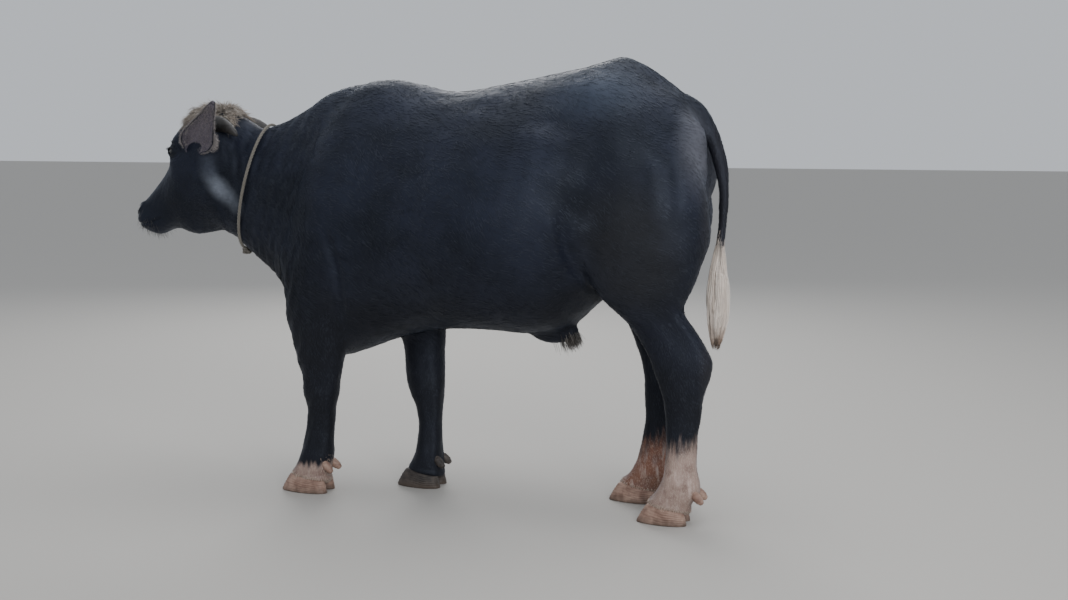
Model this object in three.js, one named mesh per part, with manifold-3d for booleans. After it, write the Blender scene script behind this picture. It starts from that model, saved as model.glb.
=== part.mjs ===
// A young male water buffalo standing still, life size, with a rope collar.
// Millimetres. +X is the way it faces, +Y its left side, +Z up; the soles are at Z = 0.
// The body is modelled whole in smooth lofts and then parted with thin cuts.
import * as THREE from 'three';
import { mergeVertices } from 'three/addons/utils/BufferGeometryUtils.js';
import Module from 'manifold-3d';

const wasm = await Module();
wasm.setup();

// Driving sizes
const FORE_SHIFT = 13.4; // moves the whole animal so that its middle is over the origin
const GAP = 0.3; // between pieces that meet face to face
const SKIN_CLEAR = 0.4; // how far a cutting copy of a body stands outside the body
const EYE = { x: 772, y: 79, z: 1057, r: 19 };
const SWITCH_TIP = 487; // how low the hair of the tail hangs
const SWITCH_HAIR = { locks: 13, width: 27, thick: 9, spread: 62 };
const POLL_HAIR = { from: 590, to: 728, half: 74, rows: 4, length: 62, width: 30, thick: 7, sunk: 7 };
const EYE_AXIS = new THREE.Vector3(0.55, 0.83, 0.12).normalize();
// The left ear is raised and the right one is held out level
const EARS = {
  ear_left: { root: [698, 96, 1078], tip: [556, 212, 1216], opens: [-0.45, 0.85, -0.25] },
  ear_right: { root: [698, 96, 1080], tip: [556, 262, 1092], opens: [-0.3, 0.25, -0.9] },
};
const ROPE_RADIUS = 6.5;
const KNOT_RADII = [15, 17, 12];
const TAIL_SWITCH_TOP = 760;
const CORONET = { front: 60, heel: 36 }; // height of the hoof's upper edge
const CLEFT = 5; // gap between the two claws of a foot
const SIDES = { torso: 28, neck: 24, head: 28, leg: 16, tail: 10, horn: 10, claw: 12 };

// Materials of the real surfaces
const skin = new THREE.MeshStandardMaterial({ color: '#2b2c31', roughness: 0.6, metalness: 0 });
const paleHair = new THREE.MeshStandardMaterial({ color: '#d9c8b4', roughness: 0.85, metalness: 0 });
const hornHusk = new THREE.MeshStandardMaterial({ color: '#5d5148', roughness: 0.55, metalness: 0 });
const eyeGloss = new THREE.MeshStandardMaterial({ color: '#140e0b', roughness: 0.08, metalness: 0 });
const hoofHorn = new THREE.MeshStandardMaterial({ color: '#a98a78', roughness: 0.6, metalness: 0 });
const darkHoof = new THREE.MeshStandardMaterial({ color: '#3a3431', roughness: 0.6, metalness: 0 });
const rope = new THREE.MeshStandardMaterial({ color: '#b9ab8f', roughness: 0.9, metalness: 0 });

// Each row of a body table is one cross-section:
// upper edge x and z, lower edge x and z, half width, share of the height where it is widest,
// and how square the upper and lower halves are (2 is an ellipse).
const TORSO = [
  [398, 700, 394, 590, 40, 0.5, 2.0, 2.0],
  [386, 820, 382, 525, 116, 0.48, 2.0, 2.0],
  [356, 940, 354, 474, 168, 0.46, 2.0, 2.0],
  [310, 1060, 310, 436, 204, 0.46, 2.0, 2.0],
  [245, 1190, 245, 420, 231, 0.47, 1.9, 2.0],
  [160, 1262, 160, 442, 246, 0.48, 1.8, 2.1],
  [64, 1277, 64, 478, 258, 0.48, 1.75, 2.2],
  [-26, 1266, -26, 505, 276, 0.47, 1.8, 2.2],
  [-116, 1246, -116, 521, 303, 0.46, 1.85, 2.2],
  [-205, 1246, -205, 527, 326, 0.45, 1.9, 2.2],
  [-292, 1261, -292, 526, 336, 0.46, 1.9, 2.2],
  [-399, 1279, -399, 522, 330, 0.47, 1.9, 2.2],
  [-505, 1303, -505, 545, 304, 0.5, 1.9, 2.1],
  [-589, 1323, -585, 612, 268, 0.55, 1.9, 2.0],
  [-661, 1338, -650, 672, 246, 0.56, 1.85, 2.0],
  [-712, 1320, -700, 710, 238, 0.55, 1.85, 2.0],
  [-762, 1286, -755, 742, 228, 0.53, 1.9, 2.0],
  [-826, 1243, -812, 780, 208, 0.5, 1.9, 2.0],
  [-868, 1196, -856, 830, 178, 0.5, 1.9, 2.0],
  [-894, 1140, -886, 892, 130, 0.5, 2.0, 2.0],
  [-904, 1080, -900, 960, 60, 0.5, 2.0, 2.0],
];
const NECK = [
  [60, 1255, 240, 510, 150, 0.45, 1.9, 2.1],
  [168, 1264, 366, 545, 176, 0.43, 1.8, 2.2],
  [273, 1237, 404, 604, 165, 0.43, 1.8, 2.2],
  [344, 1190, 441, 658, 146, 0.44, 1.9, 2.2],
  [400, 1161, 496, 704, 128, 0.45, 2.0, 2.2],
  [451, 1142, 566, 757, 107, 0.46, 2.0, 2.2],
  [508, 1131, 610, 792, 95, 0.47, 2.1, 2.1],
  [575, 1165, 652, 808, 84, 0.48, 2.1, 2.0],
  [640, 1150, 700, 840, 64, 0.48, 2.1, 2.0],
];
const COLLAR_ROW = 5; // the neck row on which the collar lies at the throat
const COLLAR_LEAN = 0.45; // how much of a row further forward it lies at the nape
const HEAD = [
  [560, 1120, 560, 860, 50, 0.5, 2.0, 2.0],
  [585, 1172, 590, 800, 88, 0.55, 2.2, 2.1],
  [636, 1190, 612, 790, 100, 0.6, 2.3, 2.2],
  [680, 1192, 645, 806, 106, 0.64, 2.4, 2.1],
  [724, 1177, 684, 800, 108, 0.68, 2.4, 1.8],
  [762, 1148, 714, 794, 106, 0.7, 2.4, 1.8],
  [795, 1107, 744, 790, 97, 0.66, 2.4, 1.9],
  [811, 1056, 774, 796, 84, 0.6, 2.4, 2.0],
  [832, 1007, 800, 806, 72, 0.56, 2.3, 2.1],
  [862, 969, 828, 806, 65, 0.54, 2.2, 2.2],
  [891, 935, 854, 797, 62, 0.52, 2.2, 2.3],
  [913, 909, 879, 791, 63, 0.52, 2.3, 2.3],
  [931, 884, 905, 797, 61, 0.52, 2.4, 2.3],
  [942, 862, 926, 809, 50, 0.52, 2.3, 2.2],
  [946, 846, 938, 824, 26, 0.5, 2.0, 2.0],
];

// Each leg row: height, front edge, rear edge, middle of the leg from the midline, half width
const FORE_LEFT = [
  [880, 318, 205, 140, 40],
  [800, 335, 165, 148, 58],
  [700, 352, 148, 146, 68],
  [610, 362, 150, 140, 70],
  [545, 362, 166, 131, 66],
  [480, 351, 181, 120, 60],
  [436, 345, 191, 113, 56],
  [403, 338, 198, 108, 53],
  [352, 331, 211, 101, 51],
  [317, 329, 217, 97, 51],
  [284, 325, 226, 94, 46],
  [241, 323, 233, 90, 39],
  [193, 331, 239, 88, 38],
  [150, 343, 242, 87, 43],
  [118, 352, 243, 86, 49],
  [92, 361, 248, 86, 49],
  [64, 378, 252, 86, 51],
  [30, 386, 256, 86, 48],
  [16, 386, 262, 86, 40],
];
const FORE_RIGHT = [
  [880, 150, 40, -140, 40],
  [800, 172, 0, -148, 58],
  [700, 178, -30, -146, 66],
  [610, 160, -44, -140, 68],
  [545, 126, -52, -130, 64],
  [480, 92, -56, -119, 58],
  [436, 78, -56, -111, 54],
  [403, 73, -58, -106, 52],
  [352, 67, -61, -98, 51],
  [317, 58, -62, -93, 51],
  [284, 44, -60, -89, 46],
  [241, 26, -58, -84, 39],
  [193, 20, -57, -80, 38],
  [150, 23, -58, -78, 42],
  [118, 28, -60, -77, 48],
  [92, 36, -62, -76, 49],
  [64, 50, -64, -76, 51],
  [30, 60, -62, -76, 48],
  [16, 60, -56, -76, 40],
];
const HIND_LEFT = [
  [1150, -640, -830, 120, 60],
  [1080, -600, -884, 132, 88],
  [980, -576, -926, 141, 104],
  [880, -560, -944, 146, 106],
  [800, -560, -938, 147, 98],
  [730, -576, -914, 145, 86],
  [670, -612, -886, 141, 72],
  [622, -664, -872, 136, 60],
  [580, -706, -894, 131, 52],
  [545, -732, -918, 127, 47],
  [511, -752, -938, 124, 44],
  [476, -770, -953, 121, 44],
  [440, -782, -949, 118, 44],
  [400, -797, -937, 116, 42],
  [360, -808, -926, 114, 38],
  [308, -815, -920, 112, 35],
  [257, -818, -913, 111, 34],
  [207, -818, -911, 110, 35],
  [159, -814, -911, 110, 40],
  [120, -806, -920, 110, 47],
  [88, -787, -920, 110, 48],
  [62, -768, -900, 110, 50],
  [30, -758, -890, 110, 47],
  [16, -758, -884, 110, 40],
];
const HIND_RIGHT = [
  [1150, -610, -800, -120, 60],
  [1080, -572, -850, -132, 88],
  [980, -548, -886, -141, 104],
  [880, -532, -898, -146, 106],
  [800, -528, -888, -147, 98],
  [730, -536, -858, -144, 86],
  [670, -556, -822, -140, 72],
  [622, -582, -800, -134, 60],
  [580, -620, -812, -128, 52],
  [545, -646, -830, -123, 47],
  [511, -664, -846, -119, 44],
  [476, -678, -858, -115, 44],
  [440, -692, -852, -112, 44],
  [400, -702, -838, -109, 42],
  [360, -706, -824, -106, 38],
  [308, -708, -814, -104, 35],
  [257, -710, -804, -102, 34],
  [207, -704, -798, -100, 35],
  [159, -694, -796, -100, 40],
  [120, -682, -802, -100, 47],
  [88, -665, -800, -100, 48],
  [62, -640, -778, -100, 50],
  [30, -628, -766, -100, 47],
  [16, -628, -758, -100, 40],
];
const FEET = {
  leg_front_left: { rows: FORE_LEFT, toe: 410, heel: 258, y: 86, cut: 590, hoof: hoofHorn },
  leg_front_right: { rows: FORE_RIGHT, toe: 86, heel: -58, y: -76, cut: 590, hoof: darkHoof },
  leg_hind_left: { rows: HIND_LEFT, toe: -738, heel: -884, y: 110, cut: 730, hoof: hoofHorn },
  leg_hind_right: { rows: HIND_RIGHT, toe: -604, heel: -756, y: -100, cut: 730, hoof: hoofHorn },
};

// Swellings and hollows of muscle and bone: centre x, y, z, reach x, y, z and how far out.
// Each stands on both sides of the body.
const BODY_FORMS = [
  [-612, 205, 1262, 60, 70, 55, 22], // hook bone
  [-520, 260, 1190, 80, 70, 70, -26], // hollow of the flank
  [-880, 105, 1115, 60, 45, 60, 24], // pin bone
  [-890, 85, 1010, 60, 50, 90, 26], // buttock
  [-700, 225, 1020, 130, 60, 120, 14], // thigh
  [-905, 0, 1080, 60, 34, 90, -14], // groove below the tail
  [200, 215, 960, 90, 60, 170, 12], // shoulder blade
  [350, 165, 760, 60, 60, 90, 16], // point of the shoulder
  [150, 215, 640, 90, 60, 80, 12], // upper foreleg
  [40, 250, 1000, 60, 80, 170, -10], // dip behind the shoulder
  [330, 0, 470, 90, 70, 60, 8], // brisket
];
const HEAD_FORMS = [
  [766, 98, 1092, 30, 26, 20, 9], // brow over the eye
  [764, 94, 1030, 30, 22, 16, 4], // rim under the eye
  [802, 70, 1008, 34, 30, 34, -5], // hollow before the eye
  [664, 84, 925, 60, 44, 95, 13], // jaw muscle
  [634, 92, 1142, 34, 30, 34, 10], // root of the horn
  [802, 66, 925, 40, 24, 24, 5], // ridge of the cheek
  [924, 40, 878, 20, 18, 18, 7], // wing of the nostril
  [876, 58, 846, 36, 26, 10, 4], // upper lip at the side
  [872, 56, 820, 34, 26, 10, 3], // lower lip at the side
  [930, 30, 838, 24, 44, 10, 3], // upper lip in front
  [918, 26, 812, 24, 44, 12, 4], // lower lip in front
  [884, 0, 797, 30, 40, 18, 5], // chin
  [712, 0, 1150, 70, 60, 50, 5], // dome of the forehead
];

// One cross-section row at place t along a table, on a smooth curve through the rows
function rowAt(rows, t) {
  const i = Math.min(Math.floor(t), rows.length - 2);
  const k = t - i;
  const a = rows[Math.max(i - 1, 0)];
  const b = rows[i];
  const c = rows[i + 1];
  const d = rows[Math.min(i + 2, rows.length - 1)];
  return b.map((_, n) => {
    const bend = (2 * a[n] - 5 * b[n] + 4 * c[n] - d[n]) * k * k;
    const twist = (3 * b[n] - a[n] - 3 * c[n] + d[n]) * k * k * k;
    return 0.5 * (2 * b[n] + (c[n] - a[n]) * k + bend + twist);
  });
}

// A rounded-square wave: the usual sine or cosine made fuller as square grows past 2
const full = (wave, square) => Math.sign(wave) * Math.abs(wave) ** (2 / square);

// The points of one cross-section
function ringOf(row, sides, middle = 0) {
  const [topX, topZ, lowX, lowZ, half, widest, upper, lower] = row;
  return Array.from({ length: sides }, (_, j) => {
    const turn = (2 * Math.PI * j) / sides;
    const square = Math.sin(turn) > 0 ? upper : lower;
    const reach = Math.sin(turn) > 0 ? 1 - widest : widest;
    const share = widest + reach * full(Math.sin(turn), square);
    return new THREE.Vector3(
      lowX + (topX - lowX) * share,
      middle + half * full(Math.cos(turn), square),
      lowZ + (topZ - lowZ) * share,
    );
  });
}

// A geometry over rings of points, closed at both ends round the middle of the end rings
function closeRings(rings) {
  const sides = rings[0].length;
  const middleOf = (ring) => ring
    .reduce((sum, p) => sum.add(p), new THREE.Vector3())
    .divideScalar(sides);
  const points = [...rings.flat(), middleOf(rings[0]), middleOf(rings.at(-1))];
  const faces = [];
  const [first, last] = [points.length - 2, points.length - 1];
  for (let j = 0; j < sides; j += 1) {
    const next = (j + 1) % sides;
    for (let i = 0; i < rings.length - 1; i += 1) {
      const [a, b] = [i * sides + j, i * sides + next];
      faces.push(a, b, b + sides, a, b + sides, a + sides);
    }
    const end = (rings.length - 1) * sides;
    faces.push(first, next, j, last, end + j, end + next);
  }
  const geometry = new THREE.BufferGeometry().setFromPoints(points);
  geometry.setIndex(faces);
  return geometry;
}

// Moves each point along its normal by the forms near it, and by a clearance
function swell(geometry, forms, clear) {
  geometry.computeVertexNormals();
  const place = geometry.attributes.position;
  const normal = geometry.attributes.normal;
  const outward = volumeOf(geometry) > 0 ? 1 : -1;
  for (let i = 0; i < place.count; i += 1) {
    const [x, y, z] = [place.getX(i), place.getY(i), place.getZ(i)];
    let out = clear;
    for (const [fx, fy, fz, rx, ry, rz, amount] of forms) {
      const off = ((x - fx) / rx) ** 2 + ((Math.abs(y) - fy) / ry) ** 2 + ((z - fz) / rz) ** 2;
      out += amount * Math.exp(-off);
    }
    out *= outward;
    place.setXYZ(i, x + normal.getX(i) * out, y + normal.getY(i) * out, z + normal.getZ(i) * out);
  }
  return geometry;
}

// The volume inside a closed geometry, negative where its faces point in
function volumeOf(geometry) {
  const corners = geometry.index.array;
  const at = (i) => new THREE.Vector3().fromBufferAttribute(geometry.attributes.position, corners[i]);
  let six = 0;
  for (let i = 0; i < corners.length; i += 3) six += at(i).dot(at(i + 1).cross(at(i + 2)));
  return six / 6;
}

// A solid for joining and cutting
function solidOf(geometry) {
  const triVerts = Uint32Array.from(geometry.index.array);
  if (volumeOf(geometry) < 0) triVerts.reverse();
  const vertProperties = Float32Array.from(geometry.attributes.position.array);
  return new wasm.Manifold(new wasm.Mesh({ numProp: 3, vertProperties, triVerts }));
}

// The largest closed body of a solid
function largest(solid) {
  return solid.decompose().reduce((best, one) => (one.volume() > best.volume() ? one : best));
}

function bodyGeometry(table, ringsPerRow, sides, forms, clear) {
  const count = Math.round((table.length - 1) * ringsPerRow);
  const rings = Array.from({ length: count + 1 }, (_, i) => (
    ringOf(rowAt(table, (i / count) * (table.length - 1)), sides)
  ));
  return swell(closeRings(rings), forms, clear);
}

const body = (table, ringsPerRow, sides, forms = [], clear = 0) => (
  solidOf(bodyGeometry(table, ringsPerRow, sides, forms, clear))
);

function legBody(table, ringsPerRow, clear = 0) {
  const count = Math.round((table.length - 1) * ringsPerRow);
  const rings = Array.from({ length: count + 1 }, (_, i) => {
    const [z, front, rear, middle, half] = rowAt(table, (i / count) * (table.length - 1));
    return ringOf([front, z, rear, z, half, 0.5, 2.2, 2.2], SIDES.leg, middle);
  });
  return solidOf(swell(closeRings(rings), [], clear));
}

// A tapered limb along points: at each, the half width along `wide` and the half thickness
function taperedGeometry(points, halves, wide, sides) {
  const rings = points.map((p, i) => {
    const along = points[Math.min(i + 1, points.length - 1)]
      .clone()
      .sub(points[Math.max(i - 1, 0)])
      .normalize();
    const across = wide.clone().addScaledVector(along, -wide.dot(along)).normalize();
    const thick = new THREE.Vector3().crossVectors(along, across);
    const [w, t] = halves[i];
    return Array.from({ length: sides }, (_, j) => {
      const turn = (2 * Math.PI * j) / sides;
      return p.clone()
        .addScaledVector(across, w * Math.cos(turn))
        .addScaledVector(thick, t * Math.sin(turn));
    });
  });
  return closeRings(rings);
}

const tapered = (points, halves, wide, sides) => solidOf(taperedGeometry(points, halves, wide, sides));

// Points and half sizes on a smooth curve through a short table of x, y, z, half, half
function along(table, steps) {
  const rows = Array.from({ length: steps + 1 }, (_, i) => (
    rowAt(table, (i / steps) * (table.length - 1))
  ));
  return {
    points: rows.map(([x, y, z]) => new THREE.Vector3(x, y, z)),
    halves: rows.map((row) => [row[3], row[4]]),
  };
}

// An egg shape turned so that its local Z lies along an axis
function egg(centre, radii, axis, columns = 14, rows = 8) {
  const ball = new THREE.SphereGeometry(1, columns, rows);
  ball.deleteAttribute('normal');
  ball.deleteAttribute('uv');
  const shape = mergeVertices(ball, 1e-4);
  shape.rotateX(Math.PI / 2);
  shape.scale(...radii);
  const turn = new THREE.Quaternion().setFromUnitVectors(new THREE.Vector3(0, 0, 1), axis);
  shape.applyQuaternion(turn);
  shape.translate(...centre);
  return solidOf(shape);
}

// The side of a plane through two points of the side view; keep +1 is ahead, -1 is behind
function sideOf(solid, upper, lower, keep, inset = 0) {
  const normal = new THREE.Vector3(upper[1] - lower[1], 0, lower[0] - upper[0]).normalize();
  const offset = normal.x * upper[0] + normal.z * upper[1] + keep * inset;
  return solid.trimByPlane([keep * normal.x, 0, keep * normal.z], keep * offset);
}

// Even draws between 0 and 1 that are the same on every run
function drawsFrom(seed) {
  let state = seed;
  return () => {
    state = (state * 1664525 + 1013904223) % 4294967296;
    return state / 4294967296;
  };
}

// A flat lock of hair along a path. The taper gives pairs: share of the length, share of the width.
const POLL_TAPER = [[0, 0.7], [0.3, 1], [0.68, 0.75], [1, 0.08]];
const SWITCH_TAPER = [[0, 0.5], [0.2, 1], [0.5, 0.95], [0.78, 0.6], [1, 0.06]];
function lock(path, wide, width, thick, taper) {
  const halves = taper.map(([, full]) => [(full * width) / 2, Math.max((full * thick) / 2, 0.4)]);
  return tapered(taper.map(([share]) => path(share)), halves, wide, 4);
}

const UP = new THREE.Vector3(0, 0, 1);
const WIDE = new THREE.Vector3(0, 1, 0);
const mirrored = (table) => table.map(([x, y, ...rest]) => [x, -y, ...rest]);
const group = new THREE.Group();
group.position.x = FORE_SHIFT;

function addNode(name, solid, material) {
  const { vertProperties, triVerts } = largest(solid).getMesh();
  const geometry = new THREE.BufferGeometry();
  geometry.setAttribute('position', new THREE.BufferAttribute(vertProperties, 3));
  geometry.setIndex(new THREE.BufferAttribute(triVerts, 1));
  const mesh = new THREE.Mesh(geometry, material);
  mesh.name = name;
  group.add(mesh);
}

// Planes that part the neck from the torso and the head from the neck, in the side view
const NECK_CUT = { upper: [196, 1262], lower: [436, 545] };
const HEAD_CUT = { upper: [505, 1131], lower: [612, 792] };

const torsoBody = body(TORSO, 1.7, SIDES.torso, BODY_FORMS);
const torsoClear = body(TORSO, 1.7, SIDES.torso, BODY_FORMS, SKIN_CLEAR);
const neckBody = body(NECK, 2, SIDES.neck);
const neckClear = body(NECK, 2, SIDES.neck, [], SKIN_CLEAR);
const headShape = body(HEAD, 1.8, SIDES.head, HEAD_FORMS);
const headClear = body(HEAD, 1.8, SIDES.head, HEAD_FORMS, SKIN_CLEAR);

// The sheath hangs below the belly ahead of the stifles
const sheath = egg([-450, 0, 527], [78, 34, 40], UP);

function makeLegs() {
  let upperLegs = torsoBody.subtract(torsoBody);
  for (const [name, foot] of Object.entries(FEET)) {
    const whole = legBody(foot.rows, 1.15);
    const upper = whole.trimByPlane([0, 0, 1], foot.cut + GAP);
    upperLegs = upperLegs.add(upper);
    const lower = whole.trimByPlane([0, 0, -1], -foot.cut).subtract(torsoClear);
    const hoofTop = [foot.toe - 30, CORONET.front];
    const hoofHeel = [foot.heel, CORONET.heel];
    const up = new THREE.Vector3(hoofHeel[1] - hoofTop[1], 0, hoofTop[0] - hoofHeel[0]).normalize();
    const level = up.x * hoofTop[0] + up.z * hoofTop[1];
    addNode(name, lower.trimByPlane(up.toArray(), level + GAP), skin);
    makeClaws(name.replace('leg_', ''), foot, up, level);
    makeDewclaws(name.replace('leg_', ''), foot, whole);
  }
  return upperLegs;
}

// Two claws on each foot, flat-soled, a little closer together at the toes
function makeClaws(name, { toe, heel, y, hoof }, up, level) {
  const half = 26;
  const rows = [
    [0, toe, heel + 4, half],
    [8, toe - 1, heel, half + 1],
    [34, toe - 12, heel - 3, half + 1],
    [76, toe - 34, heel + 6, half - 1],
  ];
  for (const [side, sign] of [['outer', Math.sign(y)], ['inner', -Math.sign(y)]]) {
    const middle = y + sign * (half + CLEFT / 2 + 1);
    const rings = Array.from({ length: 6 }, (_, i) => {
      const [z, front, rear, w] = rowAt(rows, i * 0.6);
      return ringOf([front, z, rear, z, w, 0.42, 1.7, 2.3], SIDES.claw, middle);
    });
    for (const ring of rings) {
      for (const p of ring) {
        const forward = (p.x - heel) / (toe - heel);
        p.y -= sign * 7 * Math.max(forward - 0.4, 0);
      }
    }
    const claw = solidOf(closeRings(rings));
    const cleftSide = claw.trimByPlane([0, sign, 0], sign * y + CLEFT / 2);
    const trimmed = cleftSide.trimByPlane([-up.x, 0, -up.z], -level);
    addNode(`claw_${name}_${side}`, trimmed, hoof);
  }
}

// Two small dewclaws behind each fetlock
function makeDewclaws(name, { y, heel, rows, hoof }, legSolid) {
  const rear = rowAt(rows, rows.length - 4)[2];
  const clear = legBody(rows, 1.15, SKIN_CLEAR);
  for (const [side, sign] of [['outer', Math.sign(y)], ['inner', -Math.sign(y)]]) {
    const axis = new THREE.Vector3(-0.72, sign * 0.2, -0.66).normalize();
    const shape = egg([rear + 4, y + sign * 27, 84], [14, 13, 26], axis, 8, 5);
    addNode(`dewclaw_${name}_${side}`, shape.subtract(clear), hoof);
  }
}

const upperLegs = makeLegs();
const torsoWhole = torsoBody.add(neckBody).add(sheath);
const torso = sideOf(torsoWhole, NECK_CUT.upper, NECK_CUT.lower, -1).add(upperLegs);
addNode('torso', torso, skin);

const neckAhead = sideOf(torsoBody.add(neckBody), NECK_CUT.upper, NECK_CUT.lower, 1, GAP);
addNode('neck', sideOf(neckAhead.add(headShape), HEAD_CUT.upper, HEAD_CUT.lower, -1), skin);

// The eyeball sits in a socket behind an almond opening between two thick lids
function eyeSolids(sign) {
  const axis = EYE_AXIS.clone();
  axis.y *= sign;
  const centre = [EYE.x, sign * EYE.y, EYE.z];
  const out = (d) => [centre[0] + axis.x * d, centre[1] + axis.y * d, centre[2] + axis.z * d];
  const lids = egg(out(-1), [30, 22, 24], axis, 16, 10);
  const opening = egg(out(18), [16, 10, 16], axis, 12, 6);
  const socket = egg(centre, [EYE.r + GAP, EYE.r + GAP, EYE.r + GAP], axis, 14, 8);
  const ball = egg(centre, [EYE.r, EYE.r, EYE.r], axis, 14, 8);
  return { lids, opening, socket, ball };
}

// Finer copies of the head and neck, for finding places on their surface
const finder = (table, forms) => new THREE.Mesh(
  bodyGeometry(table, 4, 64, forms, 0),
  new THREE.MeshBasicMaterial({ side: THREE.DoubleSide }),
);
const headFinder = finder(HEAD, HEAD_FORMS);
const neckFinder = finder(NECK, []);

// How far out the left side of the head is at a place in the side view
function faceAt(x, z) {
  const ray = new THREE.Raycaster(new THREE.Vector3(x, 300, z), new THREE.Vector3(0, -1, 0));
  const hit = ray.intersectObject(headFinder)[0];
  return hit ? hit.point.y : 0;
}

// The line of the mouth, a groove from the left corner round the front to the right one
const MOUTH_SIDE = [[837, 850], [857, 839], [879, 831], [900, 826], [918, 824], [930, 825]];
const MOUTH_FRONT = [943, 828];
const MOUTH_GROOVE = 3.6;
function mouthGroove() {
  const left = MOUTH_SIDE.map(([x, z]) => new THREE.Vector3(x, faceAt(x, z), z));
  const front = new THREE.Vector3(MOUTH_FRONT[0], 0, MOUTH_FRONT[1]);
  const right = left.map((p) => new THREE.Vector3(p.x, -p.y, p.z)).reverse();
  const path = new THREE.CatmullRomCurve3([...left, front, ...right]);
  const section = new THREE.Shape(Array.from({ length: 6 }, (_, j) => (
    new THREE.Vector2(Math.cos((j * Math.PI) / 3), Math.sin((j * Math.PI) / 3))
      .multiplyScalar(MOUTH_GROOVE)
  )));
  const tube = new THREE.ExtrudeGeometry(section, { steps: 18, extrudePath: path, bevelEnabled: false });
  tube.deleteAttribute('normal');
  tube.deleteAttribute('uv');
  return solidOf(mergeVertices(tube, 1e-4));
}

// Horns: short, thick and flattened at the root, swept back along the head, ringed near the root
const HORN = [
  [652, 56, 1132, 27, 22],
  [630, 79, 1142, 27, 22],
  [603, 95, 1143, 24, 20],
  [576, 107, 1136, 20, 17],
  [554, 113, 1124, 14, 12],
  [540, 114, 1113, 8, 7],
  [534, 114, 1107, 3, 3],
];
function hornSolid(sign, clear = 0) {
  const { points, halves } = along(sign > 0 ? HORN : mirrored(HORN), 12);
  const ringed = halves.map(([w, t], i) => {
    const ridge = (i % 2 ? 1.2 : -0.6) * Math.max(1 - i / 9, 0) + clear;
    return [w + ridge, t + ridge];
  });
  return tapered(points, ringed, new THREE.Vector3(0, 0.3 * sign, 1), SIDES.horn);
}
for (const [name, sign] of [['horn_left', 1], ['horn_right', -1]]) {
  addNode(name, hornSolid(sign).subtract(headClear).subtract(neckClear), hornHusk);
}

// The top of the head or nape at a place seen from above, and the way its surface faces there
function crownAt(x, y) {
  const inside = Math.max(Math.min(y, 84), -84);
  const ray = new THREE.Raycaster(new THREE.Vector3(x, inside, 1400), new THREE.Vector3(0, 0, -1));
  const hit = ray.intersectObjects([headFinder, neckFinder])[0];
  const facing = hit.face.normal.clone();
  return { point: hit.point, facing: facing.z < 0 ? facing.negate() : facing };
}

// The cap of hair on the poll: flat locks that fall forward over the forehead and back to the nape,
// each lying on the crown from its sunk root to its tip
function pollHair() {
  const draw = drawsFrom(7);
  const { from, to, half, rows, length, width, thick, sunk } = POLL_HAIR;
  const tipLift = 5;
  const locks = [];
  for (let i = 0; i < rows; i += 1) {
    const columns = 3 + (i % 2);
    for (let j = 0; j < columns; j += 1) {
      const x = from + ((to - from) * (i + 0.2 + 0.4 * draw())) / rows;
      const y = half * ((2 * (j + 0.5)) / columns - 1) + 10 * (draw() - 0.5);
      const lie = new THREE.Vector3(x > 640 ? 1 : -1, y / half + 0.4 * (draw() - 0.5), 0).normalize();
      const reach = length * (0.85 + 0.3 * draw());
      const bend = 14 * (draw() - 0.5);
      const path = (share) => {
        const side = bend * share * share;
        const { point, facing } = crownAt(
          x + lie.x * reach * share - lie.y * side,
          y + lie.y * reach * share + lie.x * side,
        );
        return point.addScaledVector(facing, tipLift * share - sunk * (1 - share) ** 4);
      };
      const wide = new THREE.Vector3(-lie.y, lie.x, 0);
      locks.push(lock(path, wide, width, thick, POLL_TAPER));
    }
  }
  return locks;
}

function makeHead() {
  let head = sideOf(neckAhead.add(headShape), HEAD_CUT.upper, HEAD_CUT.lower, 1, GAP);
  head = head.subtract(mouthGroove());
  for (const sign of [1, -1]) {
    const eye = eyeSolids(sign);
    head = head.add(eye.lids).subtract(eye.opening).subtract(eye.socket);
    addNode(sign > 0 ? 'eye_left' : 'eye_right', eye.ball, eyeGloss);
    const nostrilAxis = new THREE.Vector3(0.62, sign * 0.72, 0.3).normalize();
    head = head.subtract(egg([930, sign * 38, 872], [17, 8, 16], nostrilAxis, 10, 6));
  }
  for (const one of pollHair()) head = head.add(one);
  for (const sign of [1, -1]) head = head.subtract(hornSolid(sign, 2 * SKIN_CLEAR).subtract(headShape));
  addNode('head', head, skin);
}
makeHead();

// An ear is a leaf rolled into a cup: a curved blade with an inner and an outer face
function earSolid(ear, sign) {
  const root = new THREE.Vector3(...ear.root);
  const length = new THREE.Vector3(...ear.tip).sub(root);
  const run = length.clone().normalize();
  const open = new THREE.Vector3(...ear.opens);
  open.addScaledVector(run, -open.dot(run)).normalize();
  const across = new THREE.Vector3().crossVectors(run, open);
  // share of the length, half width laid flat, half angle of the roll, thickness
  const rows = [
    [-0.12, 38, 2.3, 5],
    [0.03, 54, 2.0, 6],
    [0.17, 68, 1.6, 6],
    [0.32, 66, 1.3, 5.5],
    [0.48, 48, 1.15, 5],
    [0.65, 31, 1.05, 4.5],
    [0.84, 18, 0.95, 4],
    [1, 5, 0.9, 3],
  ];
  const columns = 8;
  const rings = rows.map(([share, flat, roll, thick]) => {
    const bend = flat / roll;
    const spine = root.clone().addScaledVector(length, share);
    spine.addScaledVector(open, -6 + 10 * share * share);
    const faceAtTurn = (turn, radius) => spine.clone()
      .addScaledVector(across, radius * Math.sin(turn))
      .addScaledVector(open, bend - radius * Math.cos(turn));
    const turns = Array.from({ length: columns + 1 }, (_, j) => roll * (2 * j / columns - 1));
    const outer = turns.map((turn) => faceAtTurn(turn, bend));
    const inner = turns.map((turn) => faceAtTurn(turn, bend - thick)).reverse();
    return [...outer, ...inner];
  });
  const geometry = ribbonRings(rings);
  if (sign < 0) geometry.scale(1, -1, 1);
  return solidOf(geometry);
}

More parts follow.
